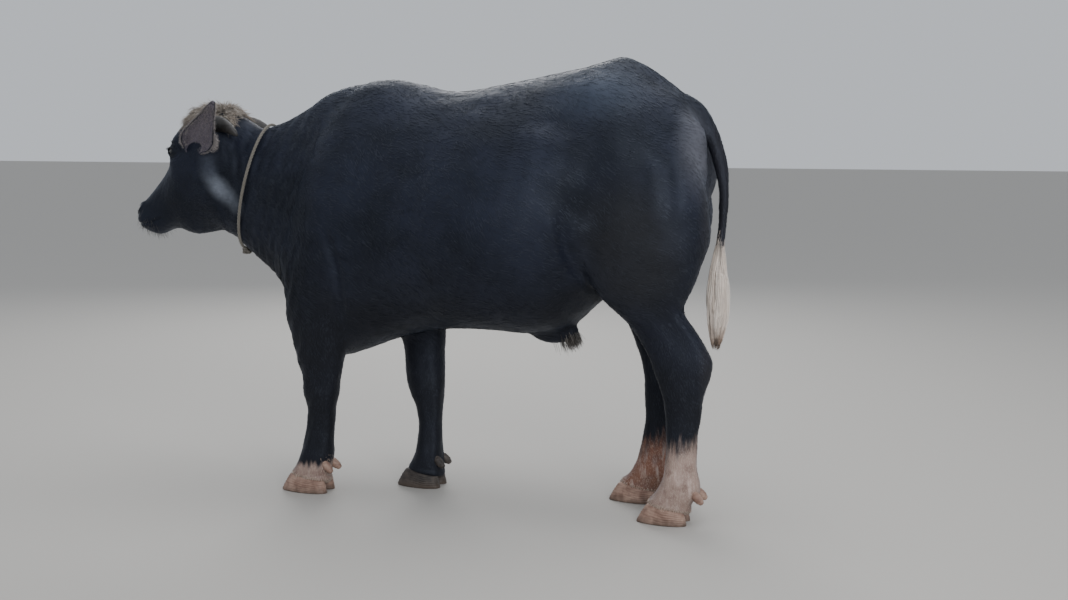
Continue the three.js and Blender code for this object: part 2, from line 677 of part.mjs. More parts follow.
// Closes rings that are a folded strip: each end is filled across its two faces
function ribbonRings(rings) {
  const sides = rings[0].length;
  const faces = [];
  for (let i = 0; i < rings.length - 1; i += 1) {
    for (let j = 0; j < sides; j += 1) {
      const [a, b] = [i * sides + j, i * sides + ((j + 1) % sides)];
      faces.push(a, b, b + sides, a, b + sides, a + sides);
    }
  }
  for (const [start, flip] of [[0, true], [(rings.length - 1) * sides, false]]) {
    for (let j = 0; j < sides / 2 - 1; j += 1) {
      const [a, b, c, d] = [j, j + 1, sides - 2 - j, sides - 1 - j].map((k) => start + k);
      faces.push(...(flip ? [a, c, b, a, d, c] : [a, b, c, a, c, d]));
    }
  }
  const geometry = new THREE.BufferGeometry().setFromPoints(rings.flat());
  geometry.setIndex(faces);
  return geometry;
}

for (const [name, ear] of Object.entries(EARS)) {
  const sign = name === 'ear_left' ? 1 : -1;
  addNode(name, earSolid(ear, sign).subtract(headClear).subtract(neckClear), skin);
}

// The tail hangs from the root of the croup down behind the thighs
const TAIL = [
  [-768, 0, 1220, 36, 28],
  [-824, 0, 1211, 34, 27],
  [-878, 0, 1174, 30, 25],
  [-916, 0, 1116, 25, 23],
  [-942, 0, 1046, 20, 20],
  [-955, 0, 966, 14.5, 15],
  [-955, 0, 886, 12, 12],
  [-949, 0, 812, 11, 11],
  [-944, 0, 752, 9.5, 9.5],
  [-941, 0, 700, 7, 7],
];
const { points: tailPoints, halves: tailHalves } = along(TAIL, 18);
const tailWhole = tapered(tailPoints, tailHalves, WIDE, SIDES.tail);
const tailDock = tailWhole
  .trimByPlane([0, 0, 1], TAIL_SWITCH_TOP + GAP)
  .subtract(torsoClear);
addNode('tail', tailDock, skin);

// The switch of long pale hair at the end of the tail: a short core and locks that hang round it,
// each leaving the core at its own height and swelling out before it draws in to its tip.
// Rows are the middle line's x and z and how far out the hair stands there.
const SWITCH = [
  [-947, 790, 13],
  [-945, 745, 20],
  [-944, 700, 26],
  [-944, 640, 31],
  [-943, 590, 30],
  [-941, 535, 22],
  [-940, 500, 12],
  [-940, 480, 7],
];
const SWITCH_CORE = [
  [-947, 0, 790, 11, 11],
  [-945, 0, 740, 12, 12],
  [-943, 0, 690, 12, 11],
  [-942, 0, 650, 9, 8],
  [-941, 0, 622, 3, 3],
];

function switchAt(z) {
  const i = SWITCH.findIndex((row, n) => n > 0 && row[1] <= z);
  const [[x0, z0, r0], [x1, z1, r1]] = [SWITCH.at(i - 1), SWITCH.at(i)];
  const k = (z0 - z) / (z0 - z1);
  return [x0 + (x1 - x0) * k, r0 + (r1 - r0) * k];
}

function makeSwitch() {
  const draw = drawsFrom(41);
  const { locks, width, thick, spread } = SWITCH_HAIR;
  const { points, halves } = along(SWITCH_CORE, 8);
  let hair = tapered(points, halves, WIDE, SIDES.tail);
  for (let n = 0; n < locks; n += 1) {
    const tier = n / locks;
    const turn = n * 2.4 + draw() * 0.4;
    const rootZ = TAIL_SWITCH_TOP + 6 - spread * tier;
    const tipZ = SWITCH_TIP + (n % 4 === 0 ? 2 : 100 * draw() * (1 - 0.4 * tier));
    const swirl = 0.8 * (draw() - 0.5);
    const path = (share) => {
      const z = rootZ + (tipZ - rootZ) * share;
      const [x, stand] = switchAt(z);
      const out = 3 + (stand - thick / 2 - 3) * Math.sin((Math.PI / 2) * Math.min(share / 0.3, 1));
      const at = turn + swirl * share;
      return new THREE.Vector3(x + out * Math.cos(at), out * Math.sin(at), z);
    };
    const wide = new THREE.Vector3(-Math.sin(turn), Math.cos(turn), 0);
    hair = hair.add(lock(path, wide, width * (0.9 + 0.3 * draw()), thick, SWITCH_TAPER));
  }
  addNode('tail_switch', hair.trimByPlane([0, 0, -1], -TAIL_SWITCH_TOP), paleHair);
}
makeSwitch();

// The rope collar lies on the neck just behind the head, knotted under the throat
function makeCollar() {
  const throat = ringOf(NECK[COLLAR_ROW], 32);
  const nape = ringOf(rowAt(NECK, COLLAR_ROW + COLLAR_LEAN), 32);
  const heights = throat.map((p) => p.z);
  const span = Math.max(...heights) - Math.min(...heights);
  const ring = throat.map((p, i) => p.clone().lerp(nape[i], (p.z - Math.min(...heights)) / span));
  const middle = ring.reduce((sum, p) => sum.add(p), new THREE.Vector3()).divideScalar(ring.length);
  const stand = ROPE_RADIUS + 2.6;
  const lifted = ring.map((p) => p.clone().addScaledVector(p.clone().sub(middle).normalize(), stand));
  const path = new THREE.CatmullRomCurve3(lifted, true);
  const steps = 32;
  const normal = new THREE.Vector3()
    .crossVectors(lifted[0].clone().sub(middle), lifted[8].clone().sub(middle))
    .normalize();
  const rings = Array.from({ length: steps }, (_, i) => {
    const at = path.getPointAt(i / steps);
    const out = new THREE.Vector3().crossVectors(path.getTangentAt(i / steps), normal).normalize();
    return Array.from({ length: 6 }, (__, j) => {
      const turn = (Math.PI * j) / 3;
      return at.clone()
        .addScaledVector(out, ROPE_RADIUS * Math.cos(turn))
        .addScaledVector(normal, ROPE_RADIUS * Math.sin(turn));
    });
  });
  const faces = [];
  for (let i = 0; i < steps; i += 1) {
    for (let j = 0; j < 6; j += 1) {
      const [a, b] = [i * 6 + j, i * 6 + ((j + 1) % 6)];
      const [c, d] = [((i + 1) % steps) * 6 + j, ((i + 1) % steps) * 6 + ((j + 1) % 6)];
      faces.push(a, b, d, a, d, c);
    }
  }
  const geometry = new THREE.BufferGeometry().setFromPoints(rings.flat());
  geometry.setIndex(faces);
  const low = ring.reduce((best, p) => (p.z < best.z ? p : best));
  const knotAt = [low.x + 5, 0, low.z - 17];
  const knot = (clear) => egg(knotAt, KNOT_RADII.map((r) => r + clear), UP, 12, 8);
  const ropeRing = solidOf(geometry).subtract(neckClear).subtract(headClear);
  addNode('collar_rope', ropeRing.subtract(knot(SKIN_CLEAR)), rope);
  addNode('collar_knot', knot(0).subtract(neckClear), rope);
}
makeCollar();

export default group;
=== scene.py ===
import math
from functools import partial

import bmesh
import bpy
import numpy as np
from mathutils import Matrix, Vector
from mathutils.bvhtree import BVHTree


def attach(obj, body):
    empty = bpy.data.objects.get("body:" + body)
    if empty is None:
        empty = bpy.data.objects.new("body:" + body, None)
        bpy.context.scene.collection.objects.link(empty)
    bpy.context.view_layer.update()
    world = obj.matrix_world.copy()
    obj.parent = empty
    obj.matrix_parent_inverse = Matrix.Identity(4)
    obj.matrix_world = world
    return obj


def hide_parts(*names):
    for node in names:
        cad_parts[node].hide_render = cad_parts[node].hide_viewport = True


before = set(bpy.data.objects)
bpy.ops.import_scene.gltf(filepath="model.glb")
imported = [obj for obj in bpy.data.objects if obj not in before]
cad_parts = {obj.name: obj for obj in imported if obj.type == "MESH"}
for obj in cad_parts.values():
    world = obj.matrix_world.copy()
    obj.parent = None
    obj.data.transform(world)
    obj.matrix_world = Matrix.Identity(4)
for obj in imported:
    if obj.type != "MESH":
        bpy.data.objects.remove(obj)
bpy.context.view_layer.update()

MM = 0.001
BODY = "root"
SIDES = ((1, "left"), (-1, "right"))
FLESH_NODES = ["torso", "neck", "head", "ear_left", "ear_right", "tail",
               "leg_front_left", "leg_front_right", "leg_hind_left", "leg_hind_right"]

# Driving sizes
FORE_SHIFT = 13.4       # the tables' zero lies this far ahead of the frame's
SKIN_VOXEL = 6.0        # mesh size of the skin before the head and feet are made finer
COAT_DEPTH = 2.0        # how far the skin lies inside the outline of the coat
UV_PATCH = 0.003        # size of one tuft's patch on the unwrap
EYE = {"x": 772, "y": 79, "z": 1057, "r": 19}
EYE_AXIS = (0.55, 0.83, 0.12)
LID = {"stand": 22.5, "long": 31, "high": 24}
OPENING = (16, 9.5)     # half length and half height of the open eye
NOSTRIL = {"at": (930, 38, 872), "axis": (0.62, 0.72, 0.3), "along": (0.702, -0.346, -0.623)}
EARS = {
    "ear_left": {"side": 1, "root": (698, 96, 1078), "tip": (556, 212, 1216),
                 "opens": (-0.45, 0.85, -0.25)},
    "ear_right": {"side": -1, "root": (698, 96, 1080), "tip": (556, 262, 1092),
                  "opens": (-0.3, 0.25, -0.9)},
}
# Rows of an ear: share of the length, half width laid flat, half angle of the roll, thickness
EAR_ROWS = [
    (-0.12, 38, 2.3, 5), (0.03, 54, 2.0, 6), (0.17, 68, 1.6, 6), (0.32, 66, 1.3, 5.5),
    (0.48, 48, 1.15, 5), (0.65, 31, 1.05, 4.5), (0.84, 18, 0.95, 4), (1, 5, 0.9, 3),
]
EAR_RINGS = 60
EAR_COLUMNS = 33        # points across one face of the ear
HORN_RINGS = 150
ROPE_RADIUS = 4.9
ROPE_LAY = 34           # length of one full turn of the three strands
COLLAR_LEAN = 0.45      # how much of a neck row the collar lies further forward at the nape
KNOT_ROPE = 5.2         # radius of the rope in the knot
KNOT_REACH = (9.6, 11.6, 6.6)  # half size of the loop that its middle line makes
CORONET = {"front": 60, "heel": 36}  # height of the hoof
CLEFT = 5
CLAW_HALF = 26
SPUR_RADII = (13.5, 12.5, 25.5)
DARK_FOOT = "front_right"
EGG_END = 1.55          # the first and last rings of an egg stand this far round, in radians
# The photo's camera: width and focal length in its pixels, how far the horizon stands above its
# middle, and how many degrees it is turned towards the head
PHOTO_WIDTH = 1068
FOCAL = 1400
HORIZON_RISE = 180
CAMERA_TURN = 17
# Rows of the body: upper edge x and z, lower edge x and z, half width, share of the height
# where it is widest, squareness of the upper and lower half
TORSO = [
    (398, 700, 394, 590, 40, 0.5, 2.0, 2.0), (386, 820, 382, 525, 116, 0.48, 2.0, 2.0),
    (356, 940, 354, 474, 168, 0.46, 2.0, 2.0), (310, 1060, 310, 436, 204, 0.46, 2.0, 2.0),
    (245, 1190, 245, 420, 231, 0.47, 1.9, 2.0), (160, 1262, 160, 442, 246, 0.48, 1.8, 2.1),
    (64, 1277, 64, 478, 258, 0.48, 1.75, 2.2), (-26, 1266, -26, 505, 276, 0.47, 1.8, 2.2),
    (-116, 1246, -116, 521, 303, 0.46, 1.85, 2.2), (-205, 1246, -205, 527, 326, 0.45, 1.9, 2.2),
    (-292, 1261, -292, 526, 336, 0.46, 1.9, 2.2), (-399, 1279, -399, 522, 330, 0.47, 1.9, 2.2),
    (-505, 1303, -505, 545, 304, 0.5, 1.9, 2.1), (-589, 1323, -585, 612, 268, 0.55, 1.9, 2.0),
    (-661, 1338, -650, 672, 246, 0.56, 1.85, 2.0), (-712, 1320, -700, 710, 238, 0.55, 1.85, 2.0),
    (-762, 1286, -755, 742, 228, 0.53, 1.9, 2.0), (-826, 1243, -812, 780, 208, 0.5, 1.9, 2.0),
    (-868, 1196, -856, 830, 178, 0.5, 1.9, 2.0), (-894, 1140, -886, 892, 130, 0.5, 2.0, 2.0),
    (-904, 1080, -900, 960, 60, 0.5, 2.0, 2.0),
]
NECK = [
    (60, 1255, 240, 510, 150, 0.45, 1.9, 2.1), (168, 1264, 366, 545, 176, 0.43, 1.8, 2.2),
    (273, 1237, 404, 604, 165, 0.43, 1.8, 2.2), (344, 1190, 441, 658, 146, 0.44, 1.9, 2.2),
    (400, 1161, 496, 704, 128, 0.45, 2.0, 2.2), (451, 1142, 566, 757, 107, 0.46, 2.0, 2.2),
    (508, 1131, 610, 792, 95, 0.47, 2.1, 2.1), (575, 1165, 652, 808, 84, 0.48, 2.1, 2.0),
    (640, 1150, 700, 840, 64, 0.48, 2.1, 2.0),
]
COLLAR_ROW = 5
HEAD = [
    (560, 1120, 560, 860, 50, 0.5, 2.0, 2.0), (585, 1172, 590, 800, 88, 0.55, 2.2, 2.1),
    (636, 1190, 612, 790, 100, 0.6, 2.3, 2.2), (680, 1192, 645, 806, 106, 0.64, 2.4, 2.1),
    (724, 1177, 684, 800, 108, 0.68, 2.4, 1.8), (762, 1148, 714, 794, 106, 0.7, 2.4, 1.8),
    (795, 1107, 744, 790, 97, 0.66, 2.4, 1.9), (811, 1056, 774, 796, 84, 0.6, 2.4, 2.0),
    (832, 1007, 800, 806, 72, 0.56, 2.3, 2.1), (862, 969, 828, 806, 65, 0.54, 2.2, 2.2),
    (891, 935, 854, 797, 62, 0.52, 2.2, 2.3), (913, 909, 879, 791, 63, 0.52, 2.3, 2.3),
    (931, 884, 905, 797, 61, 0.52, 2.4, 2.3), (942, 862, 926, 809, 50, 0.52, 2.3, 2.2),
    (946, 846, 938, 824, 26, 0.5, 2.0, 2.0),
]
# Rows of a leg: height, front edge, rear edge, middle from the midline, half width
FORE_LEFT = [
    (880, 318, 205, 140, 40), (800, 335, 165, 148, 58), (700, 352, 148, 146, 68),
    (610, 362, 150, 140, 70), (545, 362, 166, 131, 66), (480, 351, 181, 120, 60),
    (436, 345, 191, 113, 56), (403, 338, 198, 108, 53), (352, 331, 211, 101, 51),
    (317, 329, 217, 97, 51), (284, 325, 226, 94, 46), (241, 323, 233, 90, 39),
    (193, 331, 239, 88, 38), (150, 343, 242, 87, 43), (118, 352, 243, 86, 49),
    (92, 361, 248, 86, 49), (64, 378, 252, 86, 51), (30, 386, 256, 86, 48), (16, 386, 262, 86, 40),
]
FORE_RIGHT = [
    (880, 150, 40, -140, 40), (800, 172, 0, -148, 58), (700, 178, -30, -146, 66),
    (610, 160, -44, -140, 68), (545, 126, -52, -130, 64), (480, 92, -56, -119, 58),
    (436, 78, -56, -111, 54), (403, 73, -58, -106, 52), (352, 67, -61, -98, 51),
    (317, 58, -62, -93, 51), (284, 44, -60, -89, 46), (241, 26, -58, -84, 39),
    (193, 20, -57, -80, 38), (150, 23, -58, -78, 42), (118, 28, -60, -77, 48),
    (92, 36, -62, -76, 49), (64, 50, -64, -76, 51), (30, 60, -62, -76, 48), (16, 60, -56, -76, 40),
]
HIND_LEFT = [
    (1150, -640, -830, 120, 60), (1080, -600, -884, 132, 88), (980, -576, -926, 141, 104),
    (880, -560, -944, 146, 106), (800, -560, -938, 147, 98), (730, -576, -914, 145, 86),
    (670, -612, -886, 141, 72), (622, -664, -872, 136, 60), (580, -706, -894, 131, 52),
    (545, -732, -918, 127, 47), (511, -752, -938, 124, 44), (476, -770, -953, 121, 44),
    (440, -782, -949, 118, 44), (400, -797, -937, 116, 42), (360, -808, -926, 114, 38),
    (308, -815, -920, 112, 35), (257, -818, -913, 111, 34), (207, -818, -911, 110, 35),
    (159, -814, -911, 110, 40), (120, -806, -920, 110, 47), (88, -787, -920, 110, 48),
    (62, -768, -900, 110, 50), (30, -758, -890, 110, 47), (16, -758, -884, 110, 40),
]
HIND_RIGHT = [
    (1150, -610, -800, -120, 60), (1080, -572, -850, -132, 88), (980, -548, -886, -141, 104),
    (880, -532, -898, -146, 106), (800, -528, -888, -147, 98), (730, -536, -858, -144, 86),
    (670, -556, -822, -140, 72), (622, -582, -800, -134, 60), (580, -620, -812, -128, 52),
    (545, -646, -830, -123, 47), (511, -664, -846, -119, 44), (476, -678, -858, -115, 44),
    (440, -692, -852, -112, 44), (400, -702, -838, -109, 42), (360, -706, -824, -106, 38),
    (308, -708, -814, -104, 35), (257, -710, -804, -102, 34), (207, -704, -798, -100, 35),
    (159, -694, -796, -100, 40), (120, -682, -802, -100, 47), (88, -665, -800, -100, 48),
    (62, -640, -778, -100, 50), (30, -628, -766, -100, 47), (16, -628, -758, -100, 40),
]
FEET = {
    "front_left": {"rows": FORE_LEFT, "toe": 410, "heel": 258, "y": 86},
    "front_right": {"rows": FORE_RIGHT, "toe": 86, "heel": -58, "y": -76},
    "hind_left": {"rows": HIND_LEFT, "toe": -738, "heel": -884, "y": 110},
    "hind_right": {"rows": HIND_RIGHT, "toe": -604, "heel": -756, "y": -100},
}
# Middle line and half sizes: x, y, z, half width, half thickness
TAIL = [
    (-768, 0, 1220, 36, 28), (-824, 0, 1211, 34, 27), (-878, 0, 1174, 30, 25), (-916, 0, 1116, 25, 23),
    (-942, 0, 1046, 20, 20), (-955, 0, 966, 14.5, 15), (-955, 0, 886, 12, 12), (-949, 0, 812, 11, 11),
    (-944, 0, 752, 9.5, 9.5), (-941, 0, 700, 7, 7),
]
HORN = [
    (652, 56, 1132, 27, 22), (630, 79, 1142, 27, 22), (603, 95, 1143, 24, 20),
    (576, 107, 1136, 20, 17), (554, 113, 1124, 14, 12), (540, 114, 1113, 8, 7), (534, 114, 1107, 3, 3),
]
# Swellings and hollows, the same on both sides: centre, reach along x, y and z, how far out
BODY_FORMS = [
    (-612, 205, 1262, 60, 70, 55, 22),   # hook bone
    (-520, 260, 1190, 80, 70, 70, -26),  # hollow of the flank
    (-880, 105, 1115, 60, 45, 60, 24),   # pin bone
    (-890, 85, 1010, 60, 50, 90, 26),    # buttock
    (-700, 225, 1020, 130, 60, 120, 14), # thigh
    (-905, 0, 1080, 60, 34, 90, -14),    # groove below the tail
    (200, 215, 960, 90, 60, 170, 12),    # shoulder blade
    (350, 165, 760, 60, 60, 90, 16),     # point of the shoulder
    (150, 215, 640, 90, 60, 80, 12),     # upper foreleg
    (40, 250, 1000, 60, 80, 170, -10),   # dip behind the shoulder
    (330, 0, 470, 90, 70, 60, 8),        # brisket
]
HEAD_FORMS = [
    (766, 98, 1092, 30, 26, 20, 9),      # brow over the eye
    (764, 94, 1030, 30, 22, 16, 4),      # rim under the eye
    (802, 70, 1008, 34, 30, 34, -5),     # hollow before the eye
    (664, 84, 925, 60, 44, 95, 13),      # jaw muscle
    (634, 92, 1142, 34, 30, 34, 10),     # root of the horn
    (802, 66, 925, 40, 24, 24, 5),       # ridge of the cheek
    (924, 40, 878, 20, 18, 18, 7),       # wing of the nostril
    (884, 0, 797, 30, 40, 18, 5),        # chin
    (712, 0, 1150, 70, 60, 50, 5),       # dome of the forehead
    (876, 58, 846, 36, 26, 10, 4),       # upper lip at the side
    (872, 56, 820, 34, 26, 10, 3),       # lower lip at the side
    (930, 30, 838, 24, 44, 10, 3),       # upper lip at the front
    (918, 26, 812, 24, 44, 12, 4),       # lower lip at the front
    (950, 0, 852, 16, 7, 24, -2.5),      # groove between the nostrils
    (700, 104, 1066, 26, 22, 26, 5),     # gristle at the root of the ear
]
MOUTH = [(837, 850), (857, 839), (879, 831), (900, 826), (918, 824), (930, 825), (943, 828), (962, 830)]
# Folds of the hide: side (0 for both), how far from the midline they begin, depth, half width, path
FOLDS = [
    (1, 120, 7, 13, [(190, 850), (166, 770), (150, 700), (147, 620), (166, 545)]),      # left elbow
    (-1, 120, 7, 13, [(20, 850), (4, 780), (-28, 700), (-42, 615), (-50, 545)]),        # right elbow
    (1, 90, 8, 15, [(-548, 900), (-556, 800), (-574, 735), (-606, 680), (-640, 646)]),  # left flank
    (-1, 90, 8, 15, [(-526, 900), (-530, 800), (-538, 735), (-556, 680), (-578, 640)]), # right flank
    (0, 60, 5, 17, [(650, 1050), (616, 1000), (594, 930), (604, 866), (640, 822)]),     # behind the jaw
    (0, 90, 4, 26, [(322, 1010), (366, 900), (386, 800)]),                              # before the shoulder
    (0, 90, 5, 20, [(-800, 1130), (-832, 1040), (-846, 940), (-838, 850)]),             # back of the thigh
    (0, 40, 3, 9, [(566, 1090), (548, 1000), (540, 920)]),                              # neck by the ear
    (0, 40, 3, 10, [(530, 1080), (514, 990), (520, 900), (548, 830)]),                  # neck
    (0, 40, 2.5, 12, [(478, 1100), (470, 1000), (486, 900)]),                           # neck
]
# The pale switch: x and z of its middle line, and how far the hair spreads
SWITCH = [(-948, 835, 11), (-947, 790, 14), (-945, 745, 20), (-944, 700, 26), (-944, 640, 31),
          (-943, 590, 30), (-941, 535, 22), (-940, 500, 12), (-940, 480, 7)]


# Shapes

def row_at(rows, t):
    """Rows at places t along a table, on a smooth curve through its rows."""
    rows = np.asarray(rows, float)
    t = np.atleast_1d(t)
    i = np.minimum(np.floor(t).astype(int), len(rows) - 2)
    k = (t - i)[:, None]
    a, b, c = rows[np.maximum(i - 1, 0)], rows[i], rows[i + 1]
    d = rows[np.minimum(i + 2, len(rows) - 1)]
    bend = (2 * a - 5 * b + 4 * c - d) * k * k
    twist = (3 * b - a - 3 * c + d) * k ** 3
    return 0.5 * (2 * b + (c - a) * k + bend + twist)


def finer(rows, count):
    """The smooth curve through a table's rows, in a count of evenly spaced rows."""
    return row_at(rows, np.linspace(0, len(rows) - 1, count))


def round_turn(count):
    """Angles of evenly spaced points round a full turn."""
    return 2 * np.pi * np.arange(count) / count


def unit(ways):
    """Vectors made one long."""
    return ways / np.maximum(np.linalg.norm(ways, axis=-1, keepdims=True), 1e-6)


def bell(value, middle, width):
    return np.exp(-((value - middle) / width) ** 2)


def ramp(value, low, high):
    """Rises smoothly from 0 at low to 1 at high, or falls where high is the smaller."""
    share = np.clip((value - low) / (high - low), 0, 1)
    return share * share * (3 - 2 * share)


def waves(value, length):
    return np.cos(value * 2 * np.pi / length)


def ripple(points, size, seed, count=7):
    """Soft noise between about -1 and 1, with features of the given size."""
    rng = np.random.default_rng(seed)
    total = np.zeros(len(points))
    for _ in range(count):
        way = rng.normal(size=3)
        way *= rng.uniform(0.7, 1.4) / np.linalg.norm(way)
        total += np.cos(points @ way * 2 * np.pi / size + rng.uniform(0, 2 * np.pi))
    return total / math.sqrt(count)


def near_line(flat, path):
    """Distance of flat points from a broken line, and the share of its length at that place."""
    path = np.asarray(path, float)
    runs = np.diff(path, axis=0)
    lengths = np.linalg.norm(runs, axis=1)
    passed = np.concatenate([[0], np.cumsum(lengths)])
    best, share = np.full(len(flat), 1e9), np.zeros(len(flat))
    for start, run, length, before in zip(path, runs, lengths, passed):
        k = np.clip((flat - start) @ run / length ** 2, 0, 1)
        away = np.linalg.norm(flat - start - k[:, None] * run, axis=1)
        share = np.where(away < best, (before + k * length) / passed[-1], share)
        best = np.minimum(best, away)
    return best, share


def full(wave, square):
    """A sine or cosine made fuller as square grows past 2."""
    return np.sign(wave) * np.abs(wave) ** (2 / square)


def ring_of(row, sides, middle=0.0):
    """Points round one row of a body table."""
    top_x, top_z, low_x, low_z, half, widest, upper, lower = row
    turn = round_turn(sides)
    above = np.sin(turn) > 0
    square = np.where(above, upper, lower)
    share = widest + np.where(above, 1 - widest, widest) * full(np.sin(turn), square)
    return np.stack([
        low_x + (top_x - low_x) * share,
        middle + half * full(np.cos(turn), square),
        low_z + (top_z - low_z) * share,
    ], 1)


def closed(rings):
    """Points and faces over rings of points, with a fan at each end."""
    rings = np.asarray(rings)
    count, sides = rings.shape[:2]
    points = np.vstack([rings.reshape(-1, 3), rings[0].mean(0), rings[-1].mean(0)])
    j = np.arange(sides)
    nxt = (j + 1) % sides
    faces = []
    for i in range(count - 1):
        a, b = i * sides + j, i * sides + nxt
        faces += np.stack([a, b, b + sides, a + sides], 1).tolist()
    end = (count - 1) * sides
    faces += np.stack([np.full(sides, count * sides), nxt, j], 1).tolist()
    faces += np.stack([np.full(sides, count * sides + 1), end + j, end + nxt], 1).tolist()
    return points, faces


def looped(rings):
    """Points and faces over rings of points that run round in a loop."""
    count, sides = rings.shape[:2]
    i, j = np.meshgrid(np.arange(count), np.arange(sides), indexing="ij")
    after, nxt = (i + 1) % count, (j + 1) % sides
    faces = np.stack([i * sides + j, i * sides + nxt, after * sides + nxt, after * sides + j], -1)
    return rings.reshape(-1, 3), faces.reshape(-1, 4).tolist()


def tapered(points, halves, wide, sides):
    """Rings round a path, half width along wide and half thickness across it."""
    run = unit(np.gradient(points, axis=0))
    across = unit(wide - run * (run @ wide)[:, None])
    turn = round_turn(sides)
    return (points[:, None] + across[:, None] * (halves[:, :1] * np.cos(turn))[..., None]
            + np.cross(run, across)[:, None] * (halves[:, 1:2] * np.sin(turn))[..., None])


def egg(centre, radii, axis, columns=48, rows=24):
    """Rings of an egg shape whose third radius lies along an axis."""
    turn = Vector((0, 0, 1)).rotation_difference(Vector(axis).normalized()).to_matrix()
    tilt = np.pi * (np.arange(rows + 1) / rows - 0.5)[:, None]
    tilt[0], tilt[-1] = -EGG_END, EGG_END
    spin = round_turn(columns)
    local = np.stack([
        np.cos(tilt) * np.cos(spin) * radii[0],
        np.cos(tilt) * np.sin(spin) * radii[1],
        np.repeat(np.sin(tilt) * radii[2], columns, 1),
    ], -1)
    return local @ np.array(turn).T + np.asarray(centre)


# Meshes

def to_frame(mm):
    """Metres in the frame, from millimetres in the tables."""
    return (np.asarray(mm, float) + (FORE_SHIFT, 0, 0)) * MM


def to_tables(at):
    return np.asarray(at) / MM - (FORE_SHIFT, 0, 0)


def placed(name, data):
    """A new object in the scene."""
    obj = bpy.data.objects.new(name, data)
    bpy.context.scene.collection.objects.link(obj)
    return obj


def piece(name, points, faces, material=None):
    """A mesh object from millimetre points of the tables, facing out and smooth."""
    mesh = bpy.data.meshes.new(name)
    mesh.from_pydata(to_frame(points).tolist(), [], faces)
    form = bmesh.new()
    form.from_mesh(mesh)
    bmesh.ops.recalc_face_normals(form, faces=form.faces)
    form.to_mesh(mesh)
    form.free()
    mesh.shade_smooth()
    if material:
        mesh.materials.append(material)
    return placed(name, mesh)


def finish_piece(obj, slot, *nodes):
    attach(obj, BODY)
    if nodes:
        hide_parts(*nodes)
    return obj


def read(items, field, width=3, kind=np.float32):
    """One field of all the items of a mesh, a row for each."""
    flat = np.zeros(len(items) * width, kind)
    items.foreach_get(field, flat)
    return flat.reshape(-1, width)


def points_of(mesh):
    return read(mesh.vertices, "co").astype(float)


def normals_of(mesh):
    return read(mesh.vertex_normals, "vector").astype(float)


def millimetres(mesh):
    """Points of a mesh in the millimetres of the tables."""
    return to_tables(points_of(mesh))


def set_points(mesh, points):
    mesh.vertices.foreach_set("co", np.asarray(points, np.float32).ravel())
    mesh.update()


def push_out(obj, out):
    """Moves each point along its normal, in millimetres."""
    set_points(obj.data, points_of(obj.data) + normals_of(obj.data) * out[:, None] * MM)


def store(mesh, name, values):
    """Keeps a number at each point of a mesh, for its material."""
    layer = mesh.attributes.new(name, "FLOAT", "POINT")
    layer.data.foreach_set("value", np.asarray(values, np.float32))


def apply_modifiers(obj):
    graph = bpy.context.evaluated_depsgraph_get()
    mesh = bpy.data.meshes.new_from_object(obj.evaluated_get(graph))
    obj.modifiers.clear()
    obj.data = mesh


def combine(obj, other, operation):
    """Joins or cuts obj by another closed piece, which is used up."""
    tool = obj.modifiers.new("join", "BOOLEAN")
    tool.operation = operation
    tool.solver = "MANIFOLD"
    tool.object = other
    apply_modifiers(obj)
    bpy.data.objects.remove(other)


def neighbours(mesh):
    """A function that gives the mean of each point's neighbours."""
    a, b = read(mesh.edges, "vertices", 2, np.int32).T
    count = len(mesh.vertices)
    share = 1 / np.maximum(np.bincount(a, minlength=count) + np.bincount(b, minlength=count), 1)

    def mean(values):
        total = [np.bincount(a, values[b, k], count) + np.bincount(b, values[a, k], count) for k in range(3)]
        return np.stack(total, 1) * share[:, None]
    return mean


def fillet(obj, rounds, weight=1.0):
    """Fills the sharp creases where parts meet and leaves every other place as it is."""
    mean = neighbours(obj.data)
    at = points_of(obj.data)
    for i in range(rounds):
        if i % 6 == 0:
            set_points(obj.data, at)
            normal = normals_of(obj.data)
        rise = ((mean(at) - at) * normal).sum(1)
        at += normal * (np.maximum(rise, 0) * 0.9 * weight)[:, None]
    set_points(obj.data, at)


def soften(obj, rounds, weight=1.0):
    """Evens out the surface, where weight says, with little shrinking."""
    mean = neighbours(obj.data)
    at = points_of(obj.data)
    weight = np.broadcast_to(weight, len(at))[:, None]
    for _ in range(rounds):
        at += (mean(at) - at) * 0.5 * weight
        at -= (mean(at) - at) * 0.51 * weight
    set_points(obj.data, at)


def refine(obj, chosen):
    """Splits every face whose middle is chosen into four, then evens out the new points."""
    form = bmesh.new()
    form.from_mesh(obj.data)
    picked = chosen(to_tables([face.calc_center_median() for face in form.faces]))
    edges = {edge for face, pick in zip(form.faces, picked) if pick for edge in face.edges}
    bmesh.ops.subdivide_edges(form, edges=list(edges), cuts=1, use_grid_fill=True)
    form.to_mesh(obj.data)
    form.free()
    soften(obj, 4, chosen(millimetres(obj.data)).astype(float))


# Body

def swell(obj, forms=()):
    """Draws a part in by the depth of the coat and adds the forms near each point."""
    mm = millimetres(obj.data)
    mm[:, 1] = np.abs(mm[:, 1])
    out = np.full(len(mm), -COAT_DEPTH)
    for form in np.array(forms):
        off = (mm - form[:3]) / form[3:6]
        out += form[6] * np.exp(-(off ** 2).sum(1))
    push_out(obj, out)
    return obj


def body_part(name, rows, rings, sides, forms=()):
    return swell(piece(name, *closed([ring_of(row, sides) for row in finer(rows, rings)])), forms)


